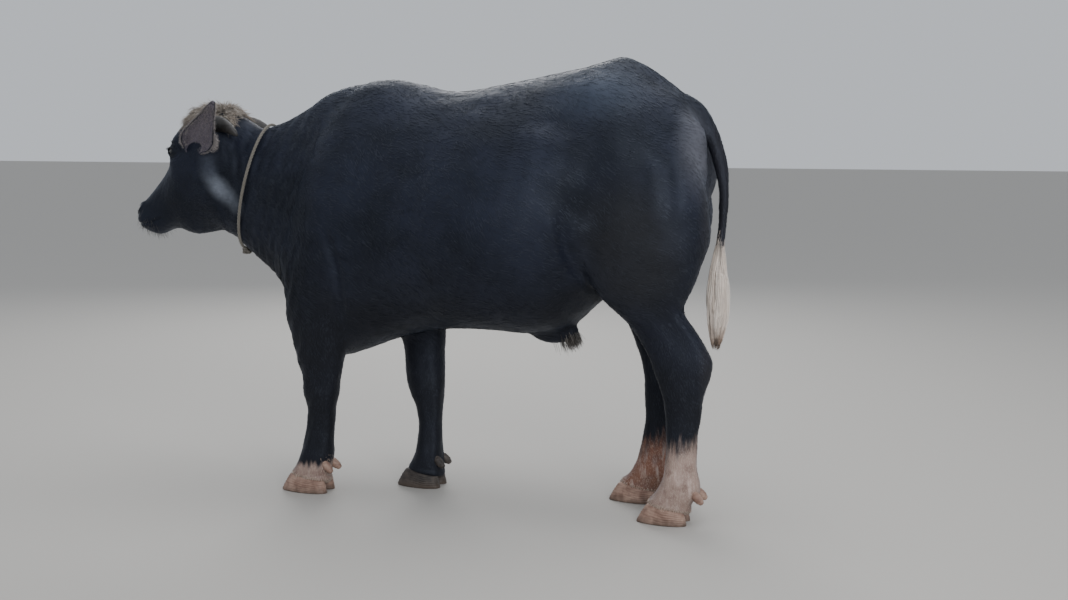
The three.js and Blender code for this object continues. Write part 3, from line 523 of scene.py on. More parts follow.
def leg_part(name, rows):
    """A leg, drawn in behind the shin bone so that the tendons stand out."""
    hind = "hind" in name
    rings = []
    for z, front, rear, y, half in finer(rows, 150):
        ring = ring_of((front, z, rear, z, half, 0.5, 2.2, 2.2), 72, y)
        across = (ring[:, 0] - rear) / (front - rear)
        thin = 0.16 * bell(z, 230 if hind else 210, 105) * bell(across, 0.36, 0.13)
        if hind:
            thin += 0.3 * bell(z, 560, 62) * bell(across, 0.3, 0.14)
        ring[:, 1] = y + (ring[:, 1] - y) * (1 - thin)
        rings.append(ring)
    return swell(piece(name, *closed(rings)))


def flesh():
    """The body as one closed surface, before the eyes, ears and mouth are made."""
    tail = finer(TAIL, 120)
    parts = [
        body_part("skin", TORSO, 170, 168, BODY_FORMS),
        body_part("neck_part", NECK, 90, 120),
        body_part("head_part", HEAD, 150, 128, HEAD_FORMS),
        piece("sheath", *closed(egg((-450, 0, 529), (76, 32, 38), (0, 0, 1)))),
        piece("tail_part", *closed(tapered(tail[:, :3], tail[:, 3:], np.array((0, 1, 0)), 32))),
    ]
    parts += [leg_part(name, foot["rows"]) for name, foot in FEET.items()]
    skin = parts[0]
    with bpy.context.temp_override(active_object=skin, selected_editable_objects=parts):
        bpy.ops.object.join()
    remesh = skin.modifiers.new("one surface", "REMESH")
    remesh.mode = "VOXEL"
    remesh.voxel_size = SKIN_VOXEL * MM
    remesh.use_smooth_shade = True
    apply_modifiers(skin)
    fillet(skin, 70)
    soften(skin, 4)
    return skin


def coronet_at(foot, x):
    """Height of the hoof's upper edge along the foot."""
    front = foot["toe"] - 30
    share = np.clip((front - x) / (front - foot["heel"]), -0.2, 1.1)
    return CORONET["front"] + (CORONET["heel"] - CORONET["front"]) * share


def at_foot(mm, foot):
    """Which points belong to the lower part of one foot."""
    x, y, z = mm.T
    return (x > foot["heel"] - 30) & (x < foot["toe"] + 20) & (z < 125) & (np.abs(y - foot["y"]) < 70)


def eye_frame(side):
    """Centre of an eye, the way it looks, and the ways forward and up along its lids."""
    axis = unit(np.array(EYE_AXIS) * (1, side, 1))
    ahead = unit(np.cross((0, 0, 1), axis) * -side)
    up = np.cross(ahead, axis)
    return np.array((EYE["x"], side * EYE["y"], EYE["z"]), float), axis, ahead, up * np.sign(up[2])


def nostril_frame(side):
    """Place of a nostril, the way into it, and the ways along and across its opening."""
    at, axis, along = (np.array(NOSTRIL[key]) * (1, side, 1) for key in ("at", "axis", "along"))
    axis = unit(axis)
    return at, axis, along, np.cross(axis, along)


def ear_frame(ear):
    """Root of an ear, its reach to the tip, and the ways that it runs, opens and spreads."""
    root, tip, opens = (np.array(ear[key]) * (1, ear["side"], 1) for key in ("root", "tip", "opens"))
    run = unit((tip - root).astype(float))
    opens = unit(opens - run * (opens @ run))
    return root, tip - root, run, opens, np.cross(run, opens) * ear["side"]


def shape_folds(skin):
    """Folds of the hide, wrinkles of the neck, ribs and the unevenness of muscle."""
    mm = millimetres(skin.data)
    x, y, z = mm.T
    aside = np.abs(y)
    out = np.zeros(len(mm))
    for side, inner, depth, width, path in FOLDS:
        away, share = near_line(mm[:, [0, 2]], path)
        fade = ramp(y * side if side else aside, inner - 25, inner + 15)
        fade *= np.clip(6 * share * (1 - share), 0, 1)
        out += (-depth * bell(away, 0, width) + 0.35 * depth * bell(away, 2 * width, width)) * fade
    trunk = ramp(x, -760, -640) * ramp(x, 420, 300) * ramp(z, 560, 680)
    out += trunk * (2.2 * ripple(mm, 230, 5) + 0.9 * ripple(mm, 85, 6))
    ribs = bell(x, -100, 190) * bell(z, 850, 170) * ramp(aside, 150, 240)
    out += 1.3 * ribs * waves(x + 0.25 * z, 74)
    neck = ramp(x, 240, 330) * ramp(x, 600, 540) * ramp(aside, 20, 60)
    out += 1.5 * neck * waves(x + 0.4 * z + 9 * ripple(mm, 160, 7), 41)
    throat = bell(x, 520, 150) * ramp(z, 860, 760) * (z > 560)
    out += 1.8 * throat * waves(x + 6 * ripple(mm, 90, 8), 30)
    thigh = ramp(x, -500, -580) * ramp(z, 560, 700)
    out += 1.8 * thigh * ripple(mm, 150, 9)
    out += ramp(x, 600, 680) * (0.7 * ripple(mm, 55, 10) + 0.35 * ripple(mm, 19, 11))
    out += ramp(z, 480, 400) * 0.6 * ripple(mm * (1, 1, 0.5), 34, 12)
    push_out(skin, out)


def shape_feet(skin):
    """The skin swells over the edge of the hoof and ends inside it."""
    mm = millimetres(skin.data)
    for foot in FEET.values():
        near = at_foot(mm, foot)
        part = mm[near]
        over = part[:, 2] - coronet_at(foot, part[:, 0])
        middle = np.array(((foot["toe"] - 30 + foot["heel"]) / 2, foot["y"]))
        below = over < 0
        draw_in = 1 - 0.1 * ramp(over[below], 0, -12)
        part[below, :2] = middle + (part[below, :2] - middle) * draw_in[:, None]
        part[below, 2] = coronet_at(foot, part[below, 0]) + over[below] * 0.22
        part[:, :2] += unit(part[:, :2] - middle) * (3.0 * bell(over, 6, 8))[:, None]
        cleft = bell(part[:, 1], foot["y"], 7) * ramp(part[:, 0], middle[0], foot["toe"] - 60)
        part[:, 0] -= 5 * cleft * bell(over, 8, 26)
        mm[near] = part
    set_points(skin.data, to_frame(mm))


def shape_lids(skin):
    """Lids that stand over the eye, with a rim and the creases above and below it."""
    mm = millimetres(skin.data)
    for side, _ in SIDES:
        centre, axis, ahead, up = eye_frame(side)
        off = mm - centre
        w, u, v = off @ axis, off @ ahead, off @ up
        near = (np.hypot(u, v) < 60) & (w > 0) & (mm[:, 1] * side > 0)
        u, v, w = u[near], v[near], w[near]
        dome = 1 - (u / LID["long"]) ** 2 - (v / LID["high"]) ** 2
        gap = np.where(dome > 0, LID["stand"] * np.sqrt(np.maximum(dome, 0)), 30 * dome) - w
        rise = 0.5 * (gap + np.sqrt(gap * gap + 20))
        open_at = np.hypot(u / OPENING[0], v / OPENING[1])
        rise += 1.2 * bell(open_at, 1.12, 0.16)
        rise -= ramp(v, -3, 3) * (2.4 * bell(open_at, 1.85, 0.2) + 1.6 * bell(open_at, 2.6, 0.24))
        rise -= ramp(v, 3, -3) * (1.7 * bell(open_at, 1.75, 0.2) + 1.3 * bell(open_at, 2.4, 0.22)
                                  + bell(open_at, 3.1, 0.25))
        corner, _ = near_line(np.stack([u, v], 1), [(15, -2), (24, -6), (36, -16)])
        rise -= 2.0 * bell(corner, 0, 3.0)
        mm[near] += axis * rise[:, None]
    set_points(skin.data, to_frame(mm))


def shape_muzzle(skin):
    """The line of the mouth and the raised rims of the nostrils."""
    mm = millimetres(skin.data)
    away, share = near_line(mm[:, [0, 2]], MOUTH)
    out = ramp(share, 0, 0.12) * (mm[:, 0] > 832) * (-2.9 * bell(away, 0, 2.6) + 0.8 * bell(away, 9, 5))
    for side, _ in SIDES:
        centre, axis, along, across = nostril_frame(side)
        off = mm - centre
        ring = np.hypot(off @ along / 17, off @ across / 8.5)
        near = (np.abs(off @ axis) < 30) & (mm[:, 1] * side > 5)
        out += near * 3.0 * bell(ring, 1.5, 0.45)
    push_out(skin, out)


def almond(side):
    """The cutting shape of the open eye, pointed at both corners and wider outside."""
    centre, axis, ahead, up = eye_frame(side)
    turn = round_turn(48)
    flat = (ahead * (OPENING[0] * np.cos(turn))[:, None]
            + up * (OPENING[1] * np.sin(turn) * np.abs(np.sin(turn)) ** 0.35)[:, None])
    return closed([centre + axis * reach + flat * (0.72 + 0.28 * reach / 20)
                   for reach in np.linspace(6, 44, 14)])


def open_face(skin):
    """Cuts the eyes and the nostrils into the skin."""
    for side, _ in SIDES:
        centre, axis, _, _ = eye_frame(side)
        combine(skin, piece("opening", *almond(side)), "DIFFERENCE")
        socket = EYE["r"] + 0.4
        combine(skin, piece("socket", *closed(egg(centre, (socket,) * 3, axis))), "DIFFERENCE")
        at, way, _, _ = nostril_frame(side)
        combine(skin, piece("nostril", *closed(egg(at, (16, 7.5, 18), way, 40, 20))), "DIFFERENCE")


def ear_rings(ear):
    """A leaf rolled into a cup: points across the outer face, then back across the inner one."""
    root, reach, run, opens, across = ear_frame(ear)
    part = np.linspace(-1, 1, EAR_COLUMNS)
    rings = []
    for share, flat, roll, thick in finer(EAR_ROWS, EAR_RINGS):
        bend = flat / roll
        spine = root + reach * share + opens * (10 * share * share - 6)
        wall = thick * (0.5 + 0.5 * np.cos(part * 1.3)) + 0.35 * np.cos(part * 31) * bell(share, 0.3, 0.3)

        def face(radius):
            return (spine + across * (radius * np.sin(roll * part))[:, None]
                    + opens * (bend - radius * np.cos(roll * part))[:, None])
        rings.append(np.vstack([face(bend), face(bend - wall)[::-1]]))
    return np.array(rings)


def ears(skin):
    """Joins the ears on, fills the crease round the root of each and marks their inner faces."""
    sides = [list(face.vertices) for face in skin.data.polygons]
    before = BVHTree.FromPolygons(points_of(skin.data).tolist(), sides)
    leaves = []
    for name, ear in EARS.items():
        points, faces = closed(ear_rings(ear))
        leaf = piece(name + "_part", points, faces)
        leaves.append(BVHTree.FromPolygons(points_of(leaf.data).tolist(), faces))
        combine(skin, leaf, "UNION")
    at = points_of(skin.data)
    x, y, z = to_tables(at).T
    aside = np.abs(y)
    root = (x > 630) & (x < 770) & (z > 1010) & (z < 1160) & (aside > 70) & (aside < 150)
    away = np.ones(len(at))
    for i in np.where(root)[0]:
        on_leaf = min(leaf.find_nearest(Vector(at[i]))[3] for leaf in leaves)
        away[i] = max(on_leaf, before.find_nearest(Vector(at[i]))[3])
    fillet(skin, 26, bell(away / MM, 0, 7))
    inside = np.zeros(len(at))
    for i in np.where((aside > 84) & (z > 1020) & (x < 760))[0]:
        for leaf in leaves:
            _, _, face, distance = leaf.find_nearest(Vector(at[i]))
            column = face % (2 * EAR_COLUMNS)
            if distance < 1.5 * MM and EAR_COLUMNS <= column < 2 * EAR_COLUMNS - 1:
                inside[i] = 1
    store(skin.data, "inner_ear", inside)


def near_face_details(mm):
    """The places on the head that need the finest skin: lids, nostrils and mouth."""
    near = (near_line(mm[:, [0, 2]], MOUTH)[0] < 13) & (mm[:, 0] > 826)
    for side, _ in SIDES:
        near |= np.linalg.norm(mm - eye_frame(side)[0], axis=1) < 54
        near |= np.linalg.norm(mm - nostril_frame(side)[0], axis=1) < 36
    return near


def head_feet_and_tail(mm):
    """The places that need a finer skin than the trunk."""
    x, y, z = mm.T
    return (x > 585) & (z > 780) | (z < 105) | (x < -902) & (np.abs(y) < 40) & (z < 1000)


def make_skin(material):
    """One skin from muzzle to tail, from the broad shapes down to the fine ones."""
    skin = flesh()
    refine(skin, head_feet_and_tail)
    shape_folds(skin)
    refine(skin, near_face_details)
    shape_feet(skin)
    shape_lids(skin)
    shape_muzzle(skin)
    open_face(skin)
    ears(skin)
    skin.data.materials.clear()
    skin.data.materials.append(material)
    skin.data.shade_smooth()
    return finish_piece(skin, "skin", *FLESH_NODES)


# Eyes, horns, claws and rope

def eyeballs(material):
    """Each eye has a slightly raised cornea, and keeps each point's angle from its middle."""
    for side, name in SIDES:
        centre, axis, ahead, up = eye_frame(side)
        off = egg(centre, (EYE["r"],) * 3, axis, 64, 64) - centre
        angle = np.degrees(np.arccos(np.clip(off @ axis / EYE["r"], -1, 1)))
        points, faces = closed(centre + off * (1 + 0.06 * bell(angle, 0, 26))[..., None])
        ball = piece("eyeball_" + name, points, faces, material)
        off = points - centre
        store(ball.data, "from_middle", np.degrees(np.arctan2(np.hypot(off @ ahead, off @ up), off @ axis)))
        store(ball.data, "pupil", np.degrees(np.hypot(off @ ahead, off @ up / 0.55)) / EYE["r"])
        finish_piece(ball, "eye", "eye_" + name)


def horns(material):
    """Two flat curved horns with eleven ridges that fade towards the tip."""
    share = np.linspace(0, 1, HORN_RINGS)
    ridge = 1.3 * (np.abs(np.sin(share * np.pi * 11 + 0.5 * np.sin(share * 17))) - 0.4)
    ridge *= np.clip(1.15 - share * 1.3, 0, 1)
    for side, name in SIDES:
        rows = finer(HORN, HORN_RINGS) * (1, side, 1, 1, 1)
        rings = tapered(rows[:, :3], rows[:, 3:] + ridge[:, None], np.array((0, 0.3 * side, 1.0)), 48)
        grain = ripple((rings * (0.15, 1, 1)).reshape(-1, 3), 7, 21).reshape(HORN_RINGS, 48, 1)
        middle = rings.mean(1, keepdims=True)
        rings = middle + (rings - middle) * (1 + 0.012 * grain)
        finish_piece(piece(f"horn_{name}_husk", *closed(rings), material), "horn", "horn_" + name)


def claw_rings(foot, side):
    """Rings of one claw up to the coronet, with growth rings and a worn lower edge."""
    toe, heel, y = foot["toe"], foot["heel"], foot["y"]
    middle = y + side * (CLAW_HALF + CLEFT / 2 + 1)
    rings = []
    for share in np.linspace(0, 1, 44):
        worn, rim = bell(share, 0, 0.04), bell(share, 1, 0.05)
        front = toe - 34 * share ** 1.15 - (4 * worn + 4 * rim)
        half = CLAW_HALF + 1.0 - 2.6 * share - 3.5 * bell(share, 0, 0.035) - 4 * rim
        ring = ring_of((front, 0, heel - 3 + 8 * share, 0, half, 0.42, 1.7, 2.3), 64, middle)
        ring[:, 2] = share * coronet_at(foot, ring[:, 0])
        forward = (ring[:, 0] - heel) / (toe - heel)
        growth = 0.7 * np.sin(share * 2 * np.pi * 7 + 1.2 * ripple(ring, 60, 31)) * np.sin(share * np.pi)
        out = unit(ring[:, :2] - (ring[:, 0].mean(), middle))
        ring[:, :2] += out * (growth + 0.5 * ripple(ring, 16, 32) * (1 - share))[:, None]
        ring[:, 1] -= side * 7 * np.maximum(forward - 0.4, 0)
        inner = side * (ring[:, 1] - y) < CLEFT / 2
        ring[inner, 1] = y + side * CLEFT / 2
        rings.append(ring)
    return rings


def spur_rings(foot, side):
    """Rings of one dewclaw, which leans back from the pastern."""
    rear = row_at(foot["rows"], len(foot["rows"]) - 4)[0][2]
    centre, way = np.array((rear + 4, foot["y"] + side * 27, 84)), np.array((-0.72, 0.2 * side, -0.66))
    rings = egg(centre, SPUR_RADII, way, 40, 40)
    off = rings - centre
    lines = 0.03 * np.sin(off @ way / SPUR_RADII[2] * 17)
    worn = 0.02 * ripple(rings.reshape(-1, 3), 12, 33).reshape(41, 40)
    return centre + off * (1 + lines + worn)[..., None]


def claws(horn):
    """Two claws and two dewclaws on each foot, one foot of dark horn."""
    for name, foot in FEET.items():
        slot = "hoof_dark" if name == DARK_FOOT else "hoof_pale"
        for edge, side in (("outer", np.sign(foot["y"])), ("inner", -np.sign(foot["y"]))):
            for kind, node, rings in (("hoof", "claw", claw_rings), ("spur", "dewclaw", spur_rings)):
                made = piece(f"{kind}_{name}_{edge}", *closed(rings(foot, side)), horn[slot])
                finish_piece(made, slot, f"{node}_{name}_{edge}")


def even(path, step):
    """A closed smooth path in steps of nearly one length, and its length."""
    rows = np.vstack([path, path[:3]])
    fine = row_at(rows, np.linspace(1, len(path) + 1, len(path) * 40, endpoint=False))
    gaps = np.linalg.norm(np.diff(fine, axis=0, append=fine[:1]), axis=1)
    travel = np.concatenate([[0], np.cumsum(gaps)])
    want = np.linspace(0, travel[-1], int(travel[-1] / step), endpoint=False)
    loop = np.vstack([fine, fine[:1]])
    return np.stack([np.interp(want, travel, loop[:, k]) for k in range(3)], 1), travel[-1]


def laid_rope(name, path, step, thick, sides, lay, node, material):
    """A closed rope of three strands along a path, with a full turn in each length of lay."""
    path, length = even(path, step)
    run = unit(np.roll(path, -1, 0) - np.roll(path, 1, 0))
    out = [np.cross(run[0], np.cross(path[0] - path.mean(0), run[0]))]
    for way in run[1:]:
        out.append(out[-1] - way * (out[-1] @ way))
    out = unit(np.array(out))
    gaps = np.linalg.norm(np.diff(path, axis=0, append=path[:1]), axis=1)
    travel = np.concatenate([[0], np.cumsum(gaps)[:-1]])
    angle = round_turn(sides)
    swing = angle - travel[:, None] * (2 * np.pi * round(length / lay) / length)
    lean = ((swing * 3 / (2 * np.pi) + 0.5) % 1 - 0.5) * 2 * np.pi / 3
    radius = (0.51 * np.cos(lean) + np.sqrt(0.24 - 0.26 * np.sin(lean) ** 2)) * thick
    rings = (path[:, None] + out[:, None] * (radius * np.cos(angle))[..., None]
             + np.cross(run, out)[:, None] * (radius * np.sin(angle))[..., None])
    rope = piece(name, *looped(rings), material)
    store(rope.data, "along", np.repeat(np.arange(len(path)) * length / len(path), sides))
    finish_piece(rope, "rope", node)
    return length


def collar(material):
    """A three-strand rope round the neck, and the knot that closes it at the throat."""
    throat = ring_of(NECK[COLLAR_ROW], 32)
    nape = ring_of(row_at(NECK, COLLAR_ROW + COLLAR_LEAN)[0], 32)
    share = (throat[:, 2] - throat[:, 2].min()) / np.ptp(throat[:, 2])
    ring = throat + (nape - throat) * share[:, None]
    ring += unit(ring - ring.mean(0)) * (ROPE_RADIUS + 2.0)
    length = laid_rope("neck_rope", ring, 1.7, ROPE_RADIUS, 36, ROPE_LAY, "collar_rope", material)
    print("rope collar length in mm", round(length))

    low = ring[ring[:, 2].argmin()]
    t = round_turn(60)
    knot = np.stack([-np.sin(3 * t) * 0.9, np.sin(t) + 2 * np.sin(2 * t), np.cos(t) - 2 * np.cos(2 * t)], 1)
    knot = knot * KNOT_REACH / (0.9, 2.76, 2.9) + (low[0] + 5, 0, low[2] - 8)
    laid_rope("throat_knot", knot, 1.5, KNOT_ROPE, 30, 26, "collar_knot", material)


# Hair

def unwrap(mm):
    """Place of each point on an unwrap of the animal: trunk, legs, tail and ears in turn."""
    x, y, z = mm.T
    middle = np.interp(x, [-900, -600, 0, 300, 560, 760, 950], [1020, 950, 880, 850, 1000, 970, 840])
    around = np.arctan2(z - middle, y) / (2 * np.pi) + 0.5
    uv = np.stack([0.02 + 0.96 * (x + 990) / 1980, 0.02 + 0.6 * around], 1)
    for i, foot in enumerate(FEET.values()):
        rows = np.array(foot["rows"], float)[::-1]
        front, rear, side, half = (np.interp(z, rows[:, 0], rows[:, k]) for k in (1, 2, 3, 4))
        leg = (z < 600) & (np.abs(y - side) < half * 1.3) & (x < front + 25) & (x > rear - 25)
        spin = np.arctan2(y - side, x - (front + rear) / 2) / (2 * np.pi) + 0.5
        uv[leg] = np.stack([0.01 + 0.245 * i + 0.225 * spin, 0.65 + 0.19 * z / 600], 1)[leg]
    tail = (x < -900) & (np.abs(y) < 60) & (z < 1130)
    spin = np.arctan2(y, x + 950) / (2 * np.pi) + 0.5
    uv[tail] = np.stack([0.01 + 0.22 * spin, 0.86 + 0.13 * (z - 460) / 680], 1)[tail]
    for i, ear in enumerate(EARS.values()):
        root, reach, _, opens, across = ear_frame(ear)
        share = (mm - root) @ reach / (reach @ reach)
        off = mm - root - share[:, None] * reach
        leaf = (share > 0.05) & (share < 1.2) & (y * ear["side"] > 112) & (z > 1030) & (x < 760)
        spin = np.arctan2(off @ across * ear["side"], off @ opens) / (2 * np.pi) + 0.5
        uv[leaf] = np.stack([0.26 + 0.2 * i + 0.18 * spin, 0.86 + 0.1 * share], 1)[leaf]
    return np.clip(uv, 0, 1)


def strands(name, paths, half, wide, material, slot, *nodes, flat=0.6, tone=None):
    """Closed tapered tufts along paths of points, in one mesh with its place on the unwrap."""
    count, steps = paths.shape[:2]
    run = unit(np.gradient(paths, axis=1))
    across = unit(wide[:, None] - run * (wide[:, None] * run).sum(2, keepdims=True))
    over = np.cross(run, across)
    rings = []
    for k in range(steps - 1):
        w = across[:, k] * half[:, k, None]
        t = over[:, k] * (half * flat)[:, k, None]
        rings += [paths[:, k] + w - t * 0.4, paths[:, k] + t, paths[:, k] - w - t * 0.4]
    points = np.stack(rings + [paths[:, -1]], 1)
    each = points.shape[1]
    last = 3 * (steps - 2)
    faces = [(0, 2, 1)]
    for k in range(0, last, 3):
        for j in range(3):
            a, b = k + j, k + (j + 1) % 3
            faces += [(a, b, b + 3), (a, b + 3, a + 3)]
    faces += [(last + j, last + (j + 1) % 3, each - 1) for j in range(3)]
    loops = (np.array(faces)[None] + each * np.arange(count)[:, None, None]).reshape(-1)
    mesh = bpy.data.meshes.new(name)
    mesh.vertices.add(count * each)
    mesh.vertices.foreach_set("co", to_frame(points.reshape(-1, 3)).astype(np.float32).ravel())
    mesh.loops.add(len(loops))
    mesh.loops.foreach_set("vertex_index", loops.astype(np.int32))
    mesh.polygons.add(len(loops) // 3)
    mesh.polygons.foreach_set("loop_start", np.arange(0, len(loops), 3, dtype=np.int32))
    mesh.update(calc_edges=True)
    mesh.shade_smooth()

    level = np.minimum(np.arange(each) // 3, steps - 1) / (steps - 1)
    spot = np.stack([(np.arange(each) % 3) / 2, level], 1) - 0.5
    spot[-1, 0] = 0
    patch = unwrap(paths[:, 0])[:, None] * (1 - 2 * UV_PATCH) + UV_PATCH + spot * UV_PATCH
    layer = mesh.uv_layers.new(name="OFBake")
    layer.data.foreach_set("uv", patch.reshape(-1, 2)[loops].astype(np.float32).ravel())
    store(mesh, "tone", np.repeat(np.full(count, 0.5) if tone is None else tone, each))
    store(mesh, "along", np.tile(level, count))
    mesh.materials.append(material)
    return finish_piece(placed(name, mesh), slot, *nodes)


class Hide:
    """The finished skin as numbers, for setting hair on it."""

    def __init__(self, skin):
        mesh = skin.data
        mesh.calc_loop_triangles()
        self.points = millimetres(mesh)
        self.normals = normals_of(mesh)
        self.corners = read(mesh.loop_triangles, "vertices", 3, np.int32)
        a, b, c = (self.points[self.corners[:, k]] for k in range(3))
        self.areas = np.linalg.norm(np.cross(b - a, c - a), axis=1) / 2
        self.middles = (a + b + c) / 3
        self.inner = read(mesh.attributes["inner_ear"].data, "value", 1)[self.corners, 0].max(1) > 0
        self.facing = self.normals[self.corners].mean(1)
        self.tree = BVHTree.FromPolygons(self.points.tolist(), self.corners.tolist())

    def scatter(self, count, density, rng):
        """Places and normals at random where density, over the triangles, allows."""
        weight = self.areas * density
        pick = np.searchsorted(np.cumsum(weight) / weight.sum(), rng.random(count))
        pick = np.minimum(pick, len(weight) - 1)
        a, b = rng.random((2, count))
        over = a + b > 1
        a[over], b[over] = 1 - a[over], 1 - b[over]
        share = np.stack([1 - a - b, a, b], 1)[..., None]
        at = (self.points[self.corners[pick]] * share).sum(1)
        return at, unit((self.normals[self.corners[pick]] * share).sum(1))

    def lay(self, at, lift):
        """Moves points onto the skin and up from it by lift."""
        laid = np.empty_like(at)
        for i, point in enumerate(at):
            place, normal, _, _ = self.tree.find_nearest(point)
            laid[i] = place + normal * lift[i]
        return laid


def lean(way, normal, rise):
    """Ways turned to leave the skin by the share rise of their length."""
    return unit(way - normal * ((way * normal).sum(1) - rise)[:, None])


def on_leg(mm):
    """How far each place belongs to a leg rather than to the trunk."""
    x, y, z = mm.T
    share = np.zeros(len(mm))
    for foot in FEET.values():
        share = np.maximum(share, (np.abs(y - foot["y"]) < 130) * ramp(z, 640, 500))
    return np.where((np.abs(x + 200) < 300) & (z > 470), 0, share)


def lie(mm, normal, rng):
    """The way the coat lies: back along the face and trunk, down the sides, legs and tail."""
    way = np.array((-0.85, 0, -0.5))
    tail = ramp(mm[:, 0], -880, -905) * (np.abs(mm[:, 1]) < 45)
    for share, turned in ((ramp(mm[:, 0], 540, 640), (-0.85, 0, 0.4)),
                          (on_leg(mm), (-0.18, 0, -1)), (tail, (-0.1, 0, -1))):
        share = share[:, None]
        way = way * (1 - share) + np.array(turned) * share
    way = way + 0.28 * np.stack([ripple(mm, 210, 50 + k) for k in range(3)], 1)
    return lean(way + rng.normal(scale=0.17, size=way.shape), normal, 0)


def coat(hide, name, count, density, share, length, half, lift, seed, material):
    """Short tufts that lie along part of the skin, their way swaying smoothly from place to place. Length,
    half width and lift are each a size and what share adds to it."""
    rng = np.random.default_rng(seed)
    at, normal = hide.scatter(count, density, rng)
    length, half, lift = (size + more * share(at) for size, more in (length, half, lift))
    grown = length * rng.uniform(0.7, 1.25, count) * (1 + 0.2 * ripple(at, 60, seed))
    way = lie(at, normal, rng)
    raised = lift * rng.uniform(0.3, 1.4, count)
    middle = hide.lay(at + way * (grown * 0.5)[:, None], raised * 0.8)
    tip = hide.lay(at + way * grown[:, None], raised)
    paths = np.stack([at - normal * 0.9, middle, tip], 1)
    size = half * rng.uniform(0.75, 1.3, count)
    tone = np.clip(0.5 + 0.2 * ripple(at, 45, seed + 1) + rng.normal(scale=0.16, size=count), 0, 1)
    fur = strands(name, paths, np.stack([size, size * 0.8], 1), np.cross(way, normal), material, "skin",
                  flat=0.3, tone=tone)
    fur.data.shade_flat()


def coats(skin, material):
    """The short coat in pieces: trunk by side, neck, head, forelegs, hind legs and tail."""
    hide = Hide(skin)
    x, y, z = hide.middles.T
    bare = hide.inner | (x > 918) & (z > 820)
    for side, _ in SIDES:
        centre, axis, ahead, up = eye_frame(side)
        off = hide.middles - centre
        bare |= (np.hypot(off @ ahead / 21, off @ up / 13) < 1) & (off @ axis > -2)
        bare |= np.linalg.norm(off, axis=1) < EYE["r"] + 1.5
        bare |= np.linalg.norm(hide.middles - nostril_frame(side)[0], axis=1) < 21
    for foot in FEET.values():
        bare |= at_foot(hide.middles, foot) & (z < coronet_at(foot, x) + 1)
    head = x > 560
    neck = ~head & (x > 262) & (z > 560)
    tail = (x < -905) & (np.abs(y) < 45) & (z < 1130)
    leg = (on_leg(hide.middles) > 0.35) & ~tail & ~neck & ~head
    trunk = ~head & ~neck & ~leg & ~tail
    crowded = 0.4 + 0.6 * ramp(x, 880, 700) + 0.8 * (z > 1120)
    low_leg = 1 + 0.8 * (z < 260)

    def belly(at):
        return bell(at[:, 2], 500, 110)

    def poll(at):
        return ramp(at[:, 0], 860, 640)

    def elbow(at):
        return ramp(at[:, 2], 80, 420)

    # Name, count, where, what the sizes follow, length, half width, lift and seed
    for name, *rest in (
        ("trunk_left", 15500, trunk * (y > 0), belly, (27, 6), (1.25, 0), (1.3, 0), 101),
        ("trunk_right", 15500, trunk * (y < 0), belly, (27, 6), (1.25, 0), (1.3, 0), 99),
        ("neck", 14000, neck, belly, (26, 0), (1.15, 0), (1.5, 0), 103),
        ("head", 18000, head * crowded, poll, (7, 9), (0.5, 0.3), (0.7, 0.8), 104),
        ("forelegs", 14500, leg * (x > -200) * low_leg, elbow, (8, 9), (0.6, 0.35), (0.8, 0.5), 106),
        ("hind_legs", 14500, leg * (x < -200) * low_leg, elbow, (8, 9), (0.6, 0.35), (0.8, 0.5), 107),
        ("tail", 2600, tail, belly, (15, 0), (0.8, 0), (1.4, 0), 108),
    ):
        count, where, *sizes = rest
        coat(hide, "coat_" + name, count, ~bare * where, *sizes, material)
    return hide


def curved(root, way, length, steps, up, droop=0.0, curl=0.0):
    """Paths that leave root along way, rise by up and fall by droop, with a curl added."""
    share = np.linspace(0, 1, steps)[None, :, None]
    path = root[:, None] + way[:, None] * length[:, None, None] * share
    path = path + np.broadcast_to(up, root.shape)[:, None] * share * (1 - 0.5 * share)
    path[..., 2] -= droop * share[..., 0] ** 2
    return path + np.broadcast_to(curl, root.shape)[:, None] * np.sin(share * np.pi * 1.3)


def taper(half, steps, sharp=0.25):
    """Half widths along a strand, full in its middle and fine at the tip."""
    share = np.linspace(0, 1, steps)[:-1]
    return half[:, None] * ((0.75 + 0.25 * np.sin(share * np.pi)) * (1 - (1 - sharp) * share ** 2))


def poll_hair(hide, material):
    """The fuzzy cap between the horns: it parts over the forehead and stands in locks."""
    rng = np.random.default_rng(61)
    x, y, z = hide.middles.T
    cap = (hide.facing[:, 2] > 0.15) * (z > 1118) * ramp(np.abs(y), 80, 60) * ~hide.inner
    cap = cap * ramp(x, 585, 612) * ramp(x, 758, 708)
    locks = 300
    at, normal = hide.scatter(locks * 11, cap, rng)
    heads, _ = hide.scatter(locks, cap, rng)
    x, y, count = at[:, 0], at[:, 1], len(at)
    nearest = ((at[:, None] - heads[None]) ** 2).sum(2).argmin(1)
    bend = rng.normal(scale=1.0, size=(locks, 3))[nearest]
    away = np.where(x > 640, 1.0, -1.0) * ramp(np.abs(x - 640), 0, 26)
    way = np.stack([0.75 * away, 0.55 * np.sign(y) * ramp(np.abs(y), 10, 70), np.full(count, 0.18)], 1)
    way = lean(way + 0.33 * bend + rng.normal(scale=0.16, size=(count, 3)), normal, 0.34)
    length = rng.uniform(26, 48, count) * (0.6 + 0.4 * ramp(x, 760, 700))
    curl = np.cross(way, normal) * rng.normal(scale=4, size=(count, 1)) + bend * 3
    rise = normal * (9 * ramp(x, 770, 690))[:, None]
    paths = curved(at - normal * 1.5, way, length, 6, rise, 13.0, curl)
    halves = taper(rng.uniform(0.7, 1.15, count), 6)
    tone = np.clip(rng.normal(0.55, 0.2, count) + 0.15 * bend[:, 0], 0, 1)
    strands("poll_cap", paths, halves, np.cross(way, normal), material, "pale_hair", tone=tone)


